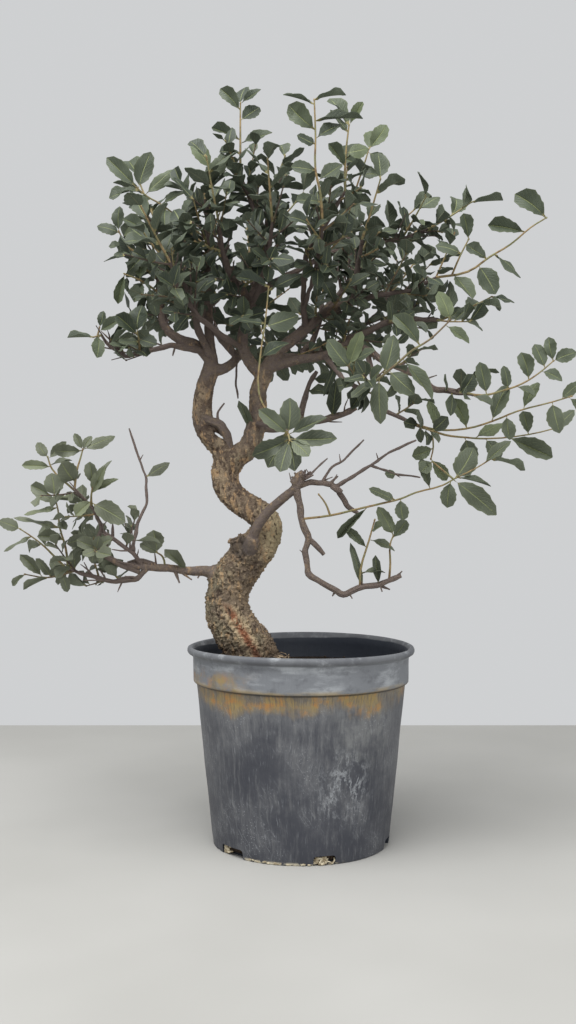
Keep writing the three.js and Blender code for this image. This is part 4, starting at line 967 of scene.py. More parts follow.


# Painted light and shade: leaves low on the tree are painted paler, most of all at the left, and those high
# up and deep in the crown are painted darker
def shadeLeaves(paint, colour):
    x, y, z = paint.split(paint.place)
    low = 1 - paint.band(z, 0.34, 0.42)
    left = 1 - paint.band(x, -0.11, -0.07)
    away = paint.length(paint.pack(x + 0.03, y * 1.1, (z - 0.49) * 1.2))
    return paint.coats(
        colour,
        (paint.band(z, 0.43, 0.5) * 0.28, "deep"),
        (low * (0.12 + 0.24 * left), "pale"),
        ((1 - paint.band(away, 0.045, 0.13)) * 0.6, "deep"),
    )


def paintLeafTop():
    paint = Finish("leafUpperFace", leafFinish)
    midrib, side, across, stalk = drawVeins(paint)
    tint = paint.field("leafTint")
    mottle = paint.cloud(260, 4)
    colour = paint.coats(
        "deep",
        (paint.band(tint, 0.0, 0.55), "grey"),
        (paint.band(tint, 0.72, 1.0), "fresh"),
        (paint.band(mottle, 0.4, 0.75) * 0.4, "grey"),
        (paint.band(across, 0.4, 0.5) * 0.25, "vein"),
        (side * 0.22, "vein"),
    )
    colour = paint.coats(shadeLeaves(paint, colour), (midrib * 0.8, "vein"), (stalk, "stalk"))
    normal = paint.bump(1 - side * 0.6 - midrib + mottle * 0.3, 0.0005, 0.7)
    return paint.surface(colour, 0.5 + mottle * 0.15, normal, 0.4)


def paintLeafUnder():
    paint = Finish("leafUnderFace", leafFinish)
    midrib, side, _, stalk = drawVeins(paint)
    felt = paint.cloud(900, 3)
    colour = paint.coats(
        "under",
        (paint.band(felt, 0.35, 0.7) * 0.5, "grey"),
        (paint.maths("MAXIMUM", midrib, side * 0.5), "underVein"),
    )
    colour = paint.coats(shadeLeaves(paint, colour), (stalk, "stalk"))
    normal = paint.bump(side * 0.5 + midrib + felt * 0.3, 0.0006, 0.8)
    return paint.surface(colour, 0.8, normal, 0.25)


shootFinish = {
    "ochre": (0.27, 0.195, 0.095), "green": (0.19, 0.18, 0.085), "brown": (0.13, 0.075, 0.04),
    "old": (0.075, 0.055, 0.045),
}


# Young shoots are tan and green, and grow brown where the tint is low
def paintShoot():
    paint = Finish("youngShootSkin", shootFinish)
    patches = paint.cloud(90, 3)
    tint = paint.field("leafTint")
    colour = paint.coats(
        "ochre",
        (paint.band(patches, 0.42, 0.6), "green"),
        (paint.band(paint.cloud(210, 4), 0.5, 0.66) * 0.75, "brown"),
        (1 - paint.band(tint + (patches - 0.5) * 0.5, 0.2, 0.5), "old"),
    )
    return paint.surface(colour, 0.75, paint.bump(paint.cloud(1500, 3), 0.0005, 0.7), 0.3)


soilFinish = {"wet": (0.012, 0.009, 0.007), "dry": (0.055, 0.038, 0.026), "fibre": (0.16, 0.11, 0.07)}
rootletTones = {"pale": (0.34, 0.26, 0.17), "brown": (0.12, 0.08, 0.05)}
crustTones = {"cream": (0.62, 0.55, 0.4), "earth": (0.3, 0.24, 0.15)}
floorTones = {"shade": (0.37, 0.365, 0.345), "light": (0.41, 0.405, 0.385)}


def paintSoil():
    paint = Finish("crumblyPottingMix", soilFinish)
    grain = paint.cloud(340, 6, None, 0.7)
    colour = paint.coats(
        "wet",
        (paint.band(grain, 0.4, 0.68), "dry"),
        (paint.band(paint.cells(700), 0.55, 0.75) * 0.35, "fibre"),
    )
    return paint.surface(colour, 0.95, paint.bump(grain + paint.cells(260) * 0.7, 0.003, 1.0), 0.15)


def paintRootlet():
    paint = Finish("paleRootlet", rootletTones)
    colour = paint.mix(paint.band(paint.cloud(240, 4), 0.4, 0.65), "pale", "brown")
    return paint.surface(colour, 0.9, paint.bump(paint.cloud(900, 3), 0.0006, 0.8))


def paintCrust():
    paint = Finish("driedCreamCrust", crustTones)
    colour = paint.mix(paint.band(paint.cloud(300, 4), 0.38, 0.62), "cream", "earth")
    return paint.surface(colour, 0.95, paint.bump(paint.cloud(700, 4), 0.001, 0.9))


def paintFloor():
    paint = Finish("paleStudioFloor", floorTones)
    colour = paint.mix(paint.band(paint.cloud(3, 3), 0.3, 0.7), "shade", "light")
    return paint.surface(colour, 0.75, None, 0.2)


def limbPoints(name):
    return [Vector(point) for point in limbs[name][2]]


# Rings are steps out and up from the foot, from the collar's bottom and from the rim's top
potShape = {
    "rimRadius": 100, "rimTop": 171.75, "collarRadius": 95, "collarBottom": 141.7, "bodyTopRadius": 91.7,
    "footRadius": 77.3, "wall": 1.8, "floor": 2.6, "sides": 120, "bodyRings": 14,
    "notches": 6, "firstNotch": 14, "notchWidth": 19, "notchHeight": 8, "notchDepth": 14, "notchRound": 2.4,
    "tornTurn": 3.3, "tornWidth": 9,
    "footRings": [(-2.2, 0), (-0.9, 0), (-0.2, 0.5), (0, 1.4)],
    "collarRings": [(-2.6, -0.9), (-1.1, -0.3), (-0.5, 0.4), (-0.35, 2), (-0.2, 8), (-0.1, 15), (0, 20.5)],
    "rimRings": [
        (-4.4, -7.4), (-2.4, -6.2), (-0.8, -5.2), (-0.1, -3.9), (-0.1, -2), (-0.8, -0.7), (-2, -0.1),
        (-3.2, 0), (-4.3, -0.4), (-5, -1.5), (-5.8, -4), (-6.7, -6.5),
    ],
}


# Radius and height of each ring, from the foot up the outside, over the rim and down the inside
def potRings():
    pot = potShape
    step, foot, floor = pot["collarBottom"], pot["footRadius"], pot["floor"]
    rings = [(foot + out, rise) for out, rise in pot["footRings"]]
    for index in range(1, pot["bodyRings"] + 1):
        share = index / pot["bodyRings"]
        rings.append((foot + (pot["bodyTopRadius"] - foot) * share, 1.4 + (step - 3.2) * share))
    rings += [(pot["collarRadius"] + out, step + rise) for out, rise in pot["collarRings"]]
    rings += [(pot["rimRadius"] + out, pot["rimTop"] + rise) for out, rise in pot["rimRings"]]
    inner = pot["collarRadius"] - pot["wall"]
    rings += [(inner - 0.1, pot["rimTop"] - 10), (inner - 0.6, step + 2)]
    rings += [(pot["bodyTopRadius"] - pot["wall"], step - 2), (foot + 1, 30)]
    rings += [(foot - pot["wall"] + 0.4, floor + 1.5), (foot - 4, floor), (30, floor)]
    return rings


# Drain notches through the foot, the last of them torn wider
def cutNotches(piece):
    pot = potShape
    cutters = []
    for index in range(pot["notches"]):
        torn = index == pot["notches"] - 1
        turn = math.radians(pot["firstNotch"] + index * 360 / pot["notches"] - pot["tornTurn"] * torn)
        place = onCircle(turn, pot["footRadius"] * 0.001, 0)
        bpy.ops.mesh.primitive_cube_add(size=1, location=place, rotation=(0, 0, turn))
        cutter = bpy.context.object
        width = pot["notchWidth"] + pot["tornWidth"] * torn
        cutter.scale = (width * 0.001, pot["notchDepth"] * 0.001, pot["notchHeight"] * 0.002)
        bpy.ops.object.transform_apply(location=False, rotation=False, scale=True)
        applyModifier(cutter, "BEVEL", {"width": pot["notchRound"] * 0.001, "segments": 2})
        cutters.append(cutter)
    cutAway(piece, joinPieces(cutters, "notchCutter"))


# Dents, a rim that isn't quite round or level, and a ragged foot
def wearWall(piece):
    for corner in piece.data.vertices:
        spot = corner.co
        turn = math.atan2(spot.x, -spot.y)
        high = smoothstep(spot.z, 0.06, 0.17)
        flat = Vector((spot.x, spot.y, 0)).normalized()
        dent = noise.noise(spot * 38) * 0.0004 + noise.noise(spot * 130) * 0.00012
        warp = high * 0.0004 * math.sin(2 * turn + 0.8)
        torn = (1 - smoothstep(spot.z, 0.0005, 0.004)) * abs(noise.noise(spot * 160)) * 0.0012
        corner.co += flat * (warp + dent - torn)
        corner.co.z += high * 0.0007 * math.sin(2 * turn + 2.2)


def makePot(finish):
    piece = turnWall(potRings(), potShape["sides"])
    cutNotches(piece)
    wearWall(piece)
    piece.name = "weathered_pot"
    piece.data.materials.append(finish)
    finishPiece(piece, "pot", "pot")
    print("pot: turned, notched and worn")


soilShape = {
    "top": 159.5, "mound": 3.5, "moundSpread": 1400, "trunkFoot": (-43, 0), "sides": 72, "rings": 26,
    "sink": 10, "sinkFrom": 22, "sinkTo": 62, "crumbs": 420, "crumbSize": 1.5, "fibrous": 0.12,
    "rootlets": 16, "rootletStart": 17, "rootletReach": 34, "flakes": 84, "notchRoots": 6, "seed": 77,
}


# The soil's top: a low mound at the trunk, sunken towards the wall
def soilHeight(x, y):
    soil = soilShape
    footX, footY = soil["trunkFoot"]
    away = (x - footX) ** 2 + (y - footY) ** 2
    spot = Vector((x, y, 0))
    lumps = noise.fractal(spot / 9, 1, 2, 4) * 1.3 + noise.noise(spot / 30) * 1.2
    sunken = soil["sink"] * smoothstep(math.sqrt(away), soil["sinkFrom"], soil["sinkTo"])
    return soil["top"] + soil["mound"] * math.exp(-away / soil["moundSpread"]) + lumps - sunken


def makeGround(wallRadius):
    soil = soilShape
    rings = [(potShape["footRadius"] - 4, 3), (potShape["footRadius"] - 2.6, 4), (wallRadius - 0.9, 136)]
    rings += [(wallRadius - 0.6, soil["top"] - soil["sink"] - 4)]
    for index in range(soil["rings"]):
        rings.append(((wallRadius - 0.6) * (1 - index / soil["rings"]), soil["top"]))
    ground = turnWall(rings, soil["sides"])
    for corner in ground.data.vertices:
        if corner.co.z > (soil["top"] - 0.1) * 0.001:
            corner.co.z = soilHeight(corner.co.x * 1000, corner.co.y * 1000) * 0.001
    return ground


def makeCrumbs(draw, wallRadius, finish, fibreFinish):
    soil = soilShape
    master = addBall()
    for corner in master.data.vertices:
        corner.co *= 1 + 0.35 * noise.noise(corner.co * 1900)
    crumbs = []
    for index in range(soil["crumbs"]):
        reach = (wallRadius - 3) * math.sqrt(draw())
        turn = 2 * math.pi * draw()
        x, y = reach * math.cos(turn), reach * math.sin(turn)
        size = soil["crumbSize"] * (0.35 + 1.1 * draw() ** 3)
        crumb = copyOf(master)
        place = Matrix.Translation((x * 0.001, y * 0.001, (soilHeight(x, y) + size * 0.3) * 0.001))
        turned = Matrix.Rotation(6 * draw(), 4, "Z") @ Matrix.Rotation(3 * draw(), 4, "X")
        crumb.data.transform(place @ turned @ Matrix.Diagonal((size, size * 0.8, size * 0.6, 1)))
        crumb.data.materials.append(finish if draw() < 1 - soil["fibrous"] else fibreFinish)
        crumbs.append(crumb)
    bpy.data.objects.remove(master)
    return crumbs


# Thin roots that creep out from the trunk's foot over the soil
def makeRootlets(draw, finish):
    soil = soilShape
    footX, footY = soil["trunkFoot"]
    rootlets = []
    for index in range(soil["rootlets"]):
        turn = math.radians(index * growth["goldenAngle"])
        points = []
        for step in range(5):
            reach = soil["rootletStart"] + soil["rootletReach"] * (0.3 + 0.7 * draw()) * step / 4
            x = footX + reach * math.cos(turn + 0.25 * step * (draw() - 0.5))
            y = footY + reach * math.sin(turn + 0.25 * step * (draw() - 0.5))
            points.append((x, y, soilHeight(x, y) + 0.6 + 1.5 * draw() * (step in (1, 2, 3))))
        rootlet = drawStem(points, taper(0.7, 0.3, 5), 0, 3)
        rootlet.data.materials.append(finish)
        rootlets.append(rootlet)
    return rootlets


# Dried crust along the foot and in the two drain holes that show, and pale roots in the front one
def makeCrust(draw, finish):
    pieces = []
    master = addBall()
    foot = potShape["footRadius"]
    for index in range(soilShape["flakes"]):
        turn = math.radians(-34 + 50 * draw())
        inNotch = index % 3 < 2
        if index % 3 == 0:
            turn = math.radians(potShape["firstNotch"] - 2.5 + 9 * (draw() - 0.5))
        elif inNotch:
            turn = math.radians(-58 + 7 * draw() ** 2)
        size = (0.5 + 0.9 * draw()) * (1.6 if inNotch else 1)
        height = 1.2 + 5.5 * draw() if inNotch else 0.9 + 1.2 * draw()
        place = Matrix.Translation(inMetres(onCircle(turn, foot - 0.3 - 1.9 * inNotch, height)))
        squash = Matrix.Diagonal((size * 1.5, size * 0.7, size * 0.6, 1))
        flake = copyOf(master)
        flake.data.transform(place @ Matrix.Rotation(turn, 4, "Z") @ squash)
        pieces.append(flake)
    bpy.data.objects.remove(master)
    for index in range(soilShape["notchRoots"]):
        turn = math.radians(potShape["firstNotch"] - 6 + 10 * draw())
        knots = [(foot - 5, 4.5), (foot - 2, 3 + 2 * draw()), (foot + 0.2, 1 + 2 * draw()), (foot - 1, 0.8)]
        line = []
        for reach, height in knots:
            turn += 0.09 * (draw() - 0.5)
            line.append(onCircle(turn, reach, height))
        pieces.append(drawStem(line, taper(0.8, 0.4, 4), 0, 3))
    for piece in pieces:
        piece.data.materials.append(finish)
    return pieces


def makeSoil(finish, rootletFinish, crustFinish):
    draw = makeDraw(soilShape["seed"])
    wallRadius = potShape["bodyTopRadius"] - potShape["wall"]
    ground = makeGround(wallRadius)
    ground.data.materials.append(finish)
    ground.data.materials.append(rootletFinish)
    pieces = [ground, *makeCrumbs(draw, wallRadius, finish, rootletFinish)]
    pieces += makeRootlets(draw, rootletFinish)
    pieces += makeCrust(draw, crustFinish)
    finishPiece(joinPieces(pieces, "potting_soil"), "soil", "soil")
    print("soil: crumbs and rootlets laid")


# Stems thicker than fusedFrom are fused into one skin of cork, down to fusedTo
woodShape = {
    "fusedFrom": 3.7, "fusedTo": 2.4, "voxel": 1.1, "corkDepth": 0.1, "limbDepth": 0.08, "fullRadius": 25,
    "fissureAcross": 6.2, "fissureTall": 14, "crackAcross": 3.4, "crackTall": 6, "sampleStep": 2.5,
    "nodeGap": 7, "nodeSwell": 0.3, "nodeSwing": 0.7, "tipShare": 0.75, "twiglets": 190, "seed": 612,
}

# Short dead spurs and stubs: limb, place along it, reach in x, y and z, and radius
spurs = [
    ["darkBranch", 0.98, 3, -3, 9, 2.1], ["darkBranch", 0.97, -6, -3, 7, 1.9],
    ["darkBranch", 1, 7, 1, 7, 1.8], ["darkBranch", 0.96, -8, 2, 4, 1.8],
    ["darkBranch", 0.99, 1, -7, 5, 1.9], ["darkBranch", 1, 9, -4, 4, 1.7],
    ["darkBranch", 0.8, -4, -2, 14, 0.9], ["darkBranch", 0.45, -1, 2, 12, 0.8],
    ["darkRight", 0.45, 8, -2, 7, 1.4], ["darkRight", 0.5, 5, -3, 9, 1.2],
    ["darkRight", 0.55, 9, 0, 3, 1.3], ["darkRight", 0.3, 12, 2, 5, 1.1],
    ["darkHanging", 0.62, -3, 0, -5, 1.5], ["darkHanging", 0.35, -5, -2, 4, 1],
    ["darkHanging", 0.7, 3, -2, -5, 1.1], ["darkHanging", 0.8, -2, -3, 5, 1],
    ["darkHanging", 0.9, 2, -3, -6, 1], ["darkHanging", 0.97, 6, -2, 6, 1.2],
    ["bareTwigOne", 0.5, -3, -2, 5, 0.7], ["bareTwigTwo", 0.4, 6, -2, 3, 0.8],
    ["bareTwigTwo", 0.6, -1, 2, 7, 0.7], ["darkArc", 0.6, -2, -2, 6, 0.7],
    ["darkArcSide", 0.5, 5, 0, -3, 0.6], ["leftBranch", 0.62, 5, -4, -12, 1.6],
    ["leftBranch", 0.6, 13, -3, -9, 1.4], ["leftBranch", 0.35, -3, -4, -6, 1.3],
    ["leftBranch", 0.75, -2, 3, 14, 1], ["leftHigh", 0.3, -9, -3, 11, 1.1],
    ["leftHigh", 0.22, 14, -2, -3, 1.2], ["leftLow", 0.4, -4, -3, -10, 1.1], ["leftLow", 0.55, -6, 2, 9, 1],
    ["bareShoot", 0.25, -3, -1, 6, 0.8], ["bareShoot", 0.75, 3, -1, 5, 0.7],
    ["hangingTwig", 0.6, 2, -1, -6, 0.7], ["lowerCrownLimb", 0.3, -2, -3, -9, 1],
    ["leftLeader", 0.6, 7, -5, 4, 1.5], ["rightLeader", 0.7, 9, -4, -6, 1.2],
]

# Swellings where a branch leaves the trunk, as points with a radius
knobs = [
    [[-66, 0, 230, 11], [-74, -1, 233, 10.4], [-80, -2, 235, 7.6]],
    [[-46, -8, 262, 9], [-54, -12, 258, 6.5], [-61, -13, 257, 4]],
    [[-50, -14, 266, 6], [-58, -15, 263, 4], [-63, -15, 264, 2.6]],
    [[-48, -14, 249, 8.5], [-44, -20, 257, 7.4], [-41, -25, 267, 6]],
    [[-7, -42, 312, 4.2], [-1, -43, 319, 4.4], [2, -43, 323, 3]],
    [[25, -41, 311, 2.3], [30, -42, 308, 3.1], [34, -41, 305, 2.4]],
]

# Hollows by the wound lip and in the foot: centre, reach across and along, and how deep
hollows = [[-82, -6, 364, 4.4, 5.5, 0.5], [-73, -3, 357, 4.6, 7, 0.4], [-52, -12, 176, 3, 14, 1.6]]

# Slots between the wound lip and the leader: centre, half size along, deep and across, and tilt
slots = [
    [-72.3, 0, 356.1, 5.8, 30, 1.1, 36.5],
    [-82.5, -8, 364, 9, 5.5, 1.2, 36.5],
    [-70.6, -10, 357.6, 9, 6, 2.2, 48],
]

# Limbs that are drawn a little slimmer than the solids
slimmer = {"darkBranch": 0.8, "leftBranch": 0.9}


def woodLines():
    yield trunk, [row[3] for row in trunk]
    for name, (first, last, points) in limbs.items():
        share = slimmer.get(name, 1)
        yield points, taper(first * share, last, len(points))


# Points along the trunk and limbs with their radius, for knowing how thick the wood is anywhere
def woodSamples():
    rows = []
    for points, radii in woodLines():
        for first, last, start, end in zip(points, points[1:], radii, radii[1:]):
            first, last = Vector(first[:3]), Vector(last[:3])
            steps = max(int((last - first).length / woodShape["sampleStep"]), 1)
            for step in range(steps):
                share = step / steps
                rows.append((*first.lerp(last, share), start + (end - start) * share))
    return np.array(rows)


# The wood's radius at each of many spots, from the sample whose surface is nearest
def nearestRadius(spots, samples):
    sizes = np.empty(len(spots))
    for start in range(0, len(spots), 4000):
        group = spots[start:start + 4000]
        away = ((group[:, None, :] - samples[None, :, :3]) ** 2).sum(2)
        away = np.sqrt(away) - samples[None, :, 3]
        sizes[start:start + 4000] = samples[away.argmin(1), 3]
    return sizes


def countedIn(spot, across, tall):
    return Vector((spot.x / across, spot.y / across, spot.z / tall))


# How far the bark stands out, from 0 in a fissure to 1 on a plate
def corkRelief(spot):
    wood = woodShape
    wide = countedIn(spot, wood["fissureAcross"], wood["fissureTall"])
    fine = countedIn(spot, wood["crackAcross"], wood["crackTall"])
    warp = noise.noise_vector(spot / 8) * 0.7
    fissure = smoothstep(abs(noise.noise(wide + warp)), 0, 0.2)
    distances, _ = noise.voronoi(fine + warp * 1.2)
    flake = smoothstep(distances[1] - distances[0], 0, 0.35)
    rough = noise.fractal(spot / 2.1, 1, 2, 3)
    broad = noise.noise(spot / 13)
    return min(max(0.02 + 0.36 * fissure + 0.26 * flake + 0.4 * rough + 0.22 * broad, 0), 1)


# A thin limb with a swelling and a small turn at every node, drawn out fine at its end
def drawTwig(points, radii, draw, corners=2):
    wood = woodShape
    spots, sizes = [Vector(points[0][:3])], [radii[0]]
    for first, last, start, end in zip(points, points[1:], radii, radii[1:]):
        first, last = Vector(first[:3]), Vector(last[:3])
        steps = max(round((last - first).length / wood["nodeGap"]), 1)
        for step in range(1, steps + 1):
            share = step / steps
            swing = Vector((draw() - 0.5, draw() - 0.5, draw() - 0.5)) * wood["nodeSwing"] * (step < steps)
            spots.append(first.lerp(last, share) + swing)
            size = start + (end - start) * share
            sizes.append(size * (0.85 if size < 1.5 else 1) * (1 + wood["nodeSwell"] * (draw() - 0.3)))
    sizes[-1] *= wood["tipShare"]
    return drawStem(spots, sizes, corners, 3)


# Bare side twigs along the crown's limbs, which show between the leaves
def makeTwiglets(draw):
    names = [name for name in limbs if "Limb" in name or name in ("leftHigh", "leftLow", "leftFront")]
    twiglets = []
    for index in range(woodShape["twiglets"]):
        root, direction = along(limbPoints(names[index % len(names)]), 0.2 + 0.75 * draw())
        heading = (direction * 0.7 + outFrom(direction, 2 * math.pi * draw()) + up * 0.3).normalized()
        heading.z = max(heading.z, -0.1)
        reach = 10 + 22 * draw() ** 2
        middle = root + heading * reach * 0.5
        tip = root + (heading + direction * 0.3 * draw()).normalized() * reach
        twiglets.append(drawTwig([root, middle, tip], [0.9, 0.75, 0.6], draw, 1))
    return twiglets


# The stems of all the wood, as thick ones to be fused and thin ones that stay as drawn
def drawWood(draw):
    wood = woodShape
    thick, thin = [], []
    for index, (points, radii) in enumerate(woodLines()):
        if radii[0] < wood["fusedFrom"]:
            thin.append(drawTwig(points, radii, draw))
            continue
        count = sum(1 for radius in radii if radius >= wood["fusedTo"] or index == 0)
        if count > 1:
            thick.append(drawStem(points[:count], radii[:count], 6 if index else 12, 6))
        if count < len(points):
            start = max(count - 2, 0)
            thin.append(drawTwig(points[start:], radii[start:], draw, 3))
    for knob in knobs:
        thick.append(drawStem(knob, [row[3] for row in knob], 6, 4))
    for limb, place, reachX, reachY, reachZ, radius in spurs:
        root, _ = along(limbPoints(limb), place)
        reach = Vector((reachX, reachY, reachZ))
        radii = [radius, radius * 0.8, radius * 0.6]
        thin.append(drawTwig([root, root + reach * 0.5, root + reach], radii, draw))
    return thick, thin + makeTwiglets(draw)


# Ball-ended slots, which open the loop that the wound lip makes with the leader
def cutSlots(body):
    for x, y, z, half, deep, across, tilt in slots:
        place, turned = inMetres((x, y, z)), (0, math.radians(tilt), 0)
        bpy.ops.mesh.primitive_uv_sphere_add(segments=20, ring_count=12, radius=0.001, location=place,
                                             rotation=turned)
        cutter = bpy.context.object
        cutter.scale = (half, deep, across)
        cutAway(body, cutter)


# Fissures and plates of the cork, deeper where the wood is thick, and the hollows
def carveBark(body, samples):
    wood = woodShape
    spots = readPoints(body, "co") * 1000
    sizes = nearestRadius(spots, samples)
    heights = np.array([corkRelief(Vector(spot)) for spot in spots])
    share = np.clip((sizes - 2) / 10, 0, 1)
    depth = (wood["corkDepth"] * share + wood["limbDepth"]) * sizes * (heights - 0.5)
    for x, y, z, across, tall, deep in hollows:
        off = (spots - (x, y, z)) / (across, across * 2, tall)
        inside = np.clip(1 - (off ** 2).sum(1), 0, 1)
        depth -= inside * deep
        heights *= 1 - inside
    moveOut(body, spots, depth)
    markEach(body, "corkHeight", heights)
    markEach(body, "woodRadius", sizes / wood["fullRadius"])


# Leaf scars and uneven growth on a thin limb
def makeKnobbly(part, samples):
    spots = readPoints(part, "co") * 1000
    sizes = np.minimum(nearestRadius(spots, samples), 3)
    lumps = np.array([noise.noise(Vector(spot) / 5) + 0.6 * noise.noise(Vector(spot) / 2) for spot in spots])
    moveOut(part, spots, lumps * np.minimum(sizes, 1.5) * 0.2)
    markAll(part, "corkHeight", 0.6)
    markEach(part, "woodRadius", sizes / woodShape["fullRadius"])


def makeWood(finish):
    thick, thin = drawWood(makeDraw(woodShape["seed"]))
    body = joinPieces(thick, "corkWood")
    applyModifier(body, "REMESH", {"mode": "VOXEL", "voxel_size": woodShape["voxel"] * 0.001})
    applyModifier(body, "SMOOTH", {"factor": 0.5, "iterations": 3})
    cutSlots(body)
    samples = woodSamples()
    carveBark(body, samples)
    for part in thin:
        makeKnobbly(part, samples)
    piece = joinPieces([body, *thin], "cork_oak_trunk")
    piece.data.materials.clear()
    piece.data.materials.append(finish)
    finishPiece(piece, "bark", "trunk_and_limbs")
    print("wood:", len(piece.data.polygons), "faces")


# How the solids' leaves grow: turns and leans in degrees, lengths in millimetres, width as a share of
# length, and the clearances from other shoots' leaves, from the shoot's own and from wood
growth = {
    "rootInset": 0.9, "goldenAngle": 137.5, "clearances": (4.3, 3, 3.4),
    "tries": 9, "turnStep": 40, "lean": 62, "leanLoss": 26, "leanDraw": 14, "length": 21, "lengthDraw": 9,
    "shape": 0.5, "shapeDraw": 0.1, "sampleStep": 5, "stemRise": 0.1, "seed": 20261,
}

# The room that wood and leaves have taken so far
taken = {
    "places": np.empty((0, 3)), "needs": np.empty(0), "owners": np.empty(0, int), "wood": np.empty(0, bool),
}


def take(points, owner, radius):
    taken["places"] = np.vstack([taken["places"], np.array([list(point) for point in points])])
    taken["needs"] = np.append(taken["needs"], [radius] * len(points))
    taken["owners"] = np.append(taken["owners"], [owner] * len(points))
    taken["wood"] = taken["needs"] > 0


def samplesAlong(points):
    samples = []
    for first, last in zip(points, points[1:]):
        steps = math.ceil((last - first).length / growth["sampleStep"])
        samples += [first.lerp(last, step / steps) for step in range(1, steps + 1)]
    return samples


# A leaf is its base, direction, side and face, with its length and width in millimetres
def setLeaf(base, tip, width, face):
    direction = (tip - base).normalized()
    square = squareTo(face, direction)
    side = direction.cross(square)
    return {"base": base, "direction": direction, "side": side, "face": square,
            "length": (tip - base).length, "width": width}


def leafSamples(leaf):
    samples = []
    for share in (0.3, 0.48, 0.66, 0.84, 1):
        middle = leaf["base"] + leaf["direction"] * share * leaf["length"]
        for across in (-0.75, 0, 0.75) if share < 1 else (0,):
            fold = 0.11 * abs(across) * leaf["width"]
            lift = fold - 0.12 * share * share * leaf["length"]
            samples.append(middle + leaf["side"] * across * leaf["width"] / 2 + leaf["face"] * lift)
    return samples


def leafRoot(stem, place):
    point, direction = along(stem, place)
    return point - direction * growth["rootInset"]


def handLeaf(stem, place, tip, width, facing):
    return setLeaf(leafRoot(stem, place), Vector(tip), width, up * (1.05 - facing) + front * facing)


def ruleLeaf(stem, place, turn, lean, length, width):
    _, direction = along(stem, place)
    out = outFrom(direction, turn)
    heading = (direction * math.cos(lean) + out * math.sin(lean) + up * 0.15).normalized()
    base = leafRoot(stem, place)
    return setLeaf(base, base + heading * length, width, direction + up * 0.7 - out * 0.3)


def isClear(leaf, owner, other, own, twig):
    samples = np.array([list(sample) for sample in leafSamples(leaf)])
    mine = taken["owners"] == owner
    needed = np.where(taken["wood"], twig + taken["needs"], np.where(mine, own, other))
    near = np.abs(taken["places"] - samples.mean(0)).max(1) < leaf["length"]
    near &= ~(mine & taken["wood"])
    away = ((samples[:, None, :] - taken["places"][None, near, :]) ** 2).sum(2)
    return not (away < needed[near] ** 2).any()


def ruleStem(points, place, heading, length):
    root, _ = along(points, place)
    return [root + heading * share * length + up * growth["stemRise"] * length * share * share
            for share in (0, 0.45, 1)]


# Open air that the photo shows round the crown, seen from the front: x from and to, z from and to
openAir = [
    [-270, -88, 369, 418], [-270, -150, 180, 222], [-270, -162, 424, 700], [-162, -128, 584, 700],
    [-128, -92, 596, 700], [120, 260, 410, 448], [-150, -60, 195, 216], [57, 160, 553, 700],
    [-25, 40, 300, 360], [137, 165, 500, 560],
]


# Whether a leaf keeps 3 mm inside the solids' box and out of the open air
def isInside(leaf):
    low, high = solidBox
    for sample in leafSamples(leaf):
        if any(not low[axis] + 0.003 < sample[axis] * 0.001 < high[axis] - 0.003 for axis in range(3)):
            return False
        if any(first < sample.x < last and under < sample.z < over for first, last, under, over in openAir):
            return False
    return True


# Adds leaves round a shoot's stem, each turned on until it is clear or its tries are spent
def fillShoot(shoot, draw, rule):
    for index in range(shoot["fill"]):
        place = (index + 1) / shoot["fill"]
        turn = index * rule["goldenAngle"] + rule["turnStep"] * draw()
        lean = math.radians(rule["lean"] - rule["leanLoss"] * place + rule["leanDraw"] * draw())
        length = rule["length"] + rule["lengthDraw"] * draw()
        width = length * (rule["shape"] + rule["shapeDraw"] * draw())
        for attempt in range(rule["tries"]):
            angle = math.radians(turn + rule["turnStep"] * attempt)
            leaf = ruleLeaf(shoot["stems"][0], place, angle, lean, length, width)
            if isClear(leaf, shoot["owner"], *rule["clearances"]) and (rule is growth or isInside(leaf)):
                shoot["leaves"].append(leaf)
                shoot["reach"] = place
                take(leafSamples(leaf), shoot["owner"], 0)
                break


# The leafy shoots of the solids, grown again by the same rule and draws
def growSprays():
    sprays = []
    for name, (first, last, _) in limbs.items():
        take(samplesAlong(limbPoints(name)), -1, (first + last) / 2)
    for name, shoot in shoots.items():
        stems = [[Vector(point) for point in stem] for stem in shoot["stems"]]
        leaves = [handLeaf(stems[stem], place, (x, y, z), width, facing)
                  for stem, place, x, y, z, width, facing in shoot["leaves"]]
        sprays.append({"name": name, "stems": stems, "leaves": leaves, "fill": shoot.get("fill", 0)})
    for index, (limb, place, around, rise, length, fill) in enumerate(ruleShoots):
        around, rise = math.radians(around), math.radians(rise)
        flat = math.cos(rise)
        heading = Vector((math.cos(around) * flat, math.sin(around) * flat, math.sin(rise)))
        stem = ruleStem(limbPoints(limb), place, heading, length)
        sprays.append({"name": f"spray_{limb}_{index + 1}", "stems": [stem], "leaves": [], "fill": fill})
    for owner, shoot in enumerate(sprays):
        shoot["owner"] = owner
        for stem in shoot["stems"]:
            take(samplesAlong(stem), owner, 1)
        for leaf in shoot["leaves"]:
            take(leafSamples(leaf), owner, 0)
    draw = makeDraw(growth["seed"])
    for shoot in sprays:
        fillShoot(shoot, draw, growth)
    return sprays


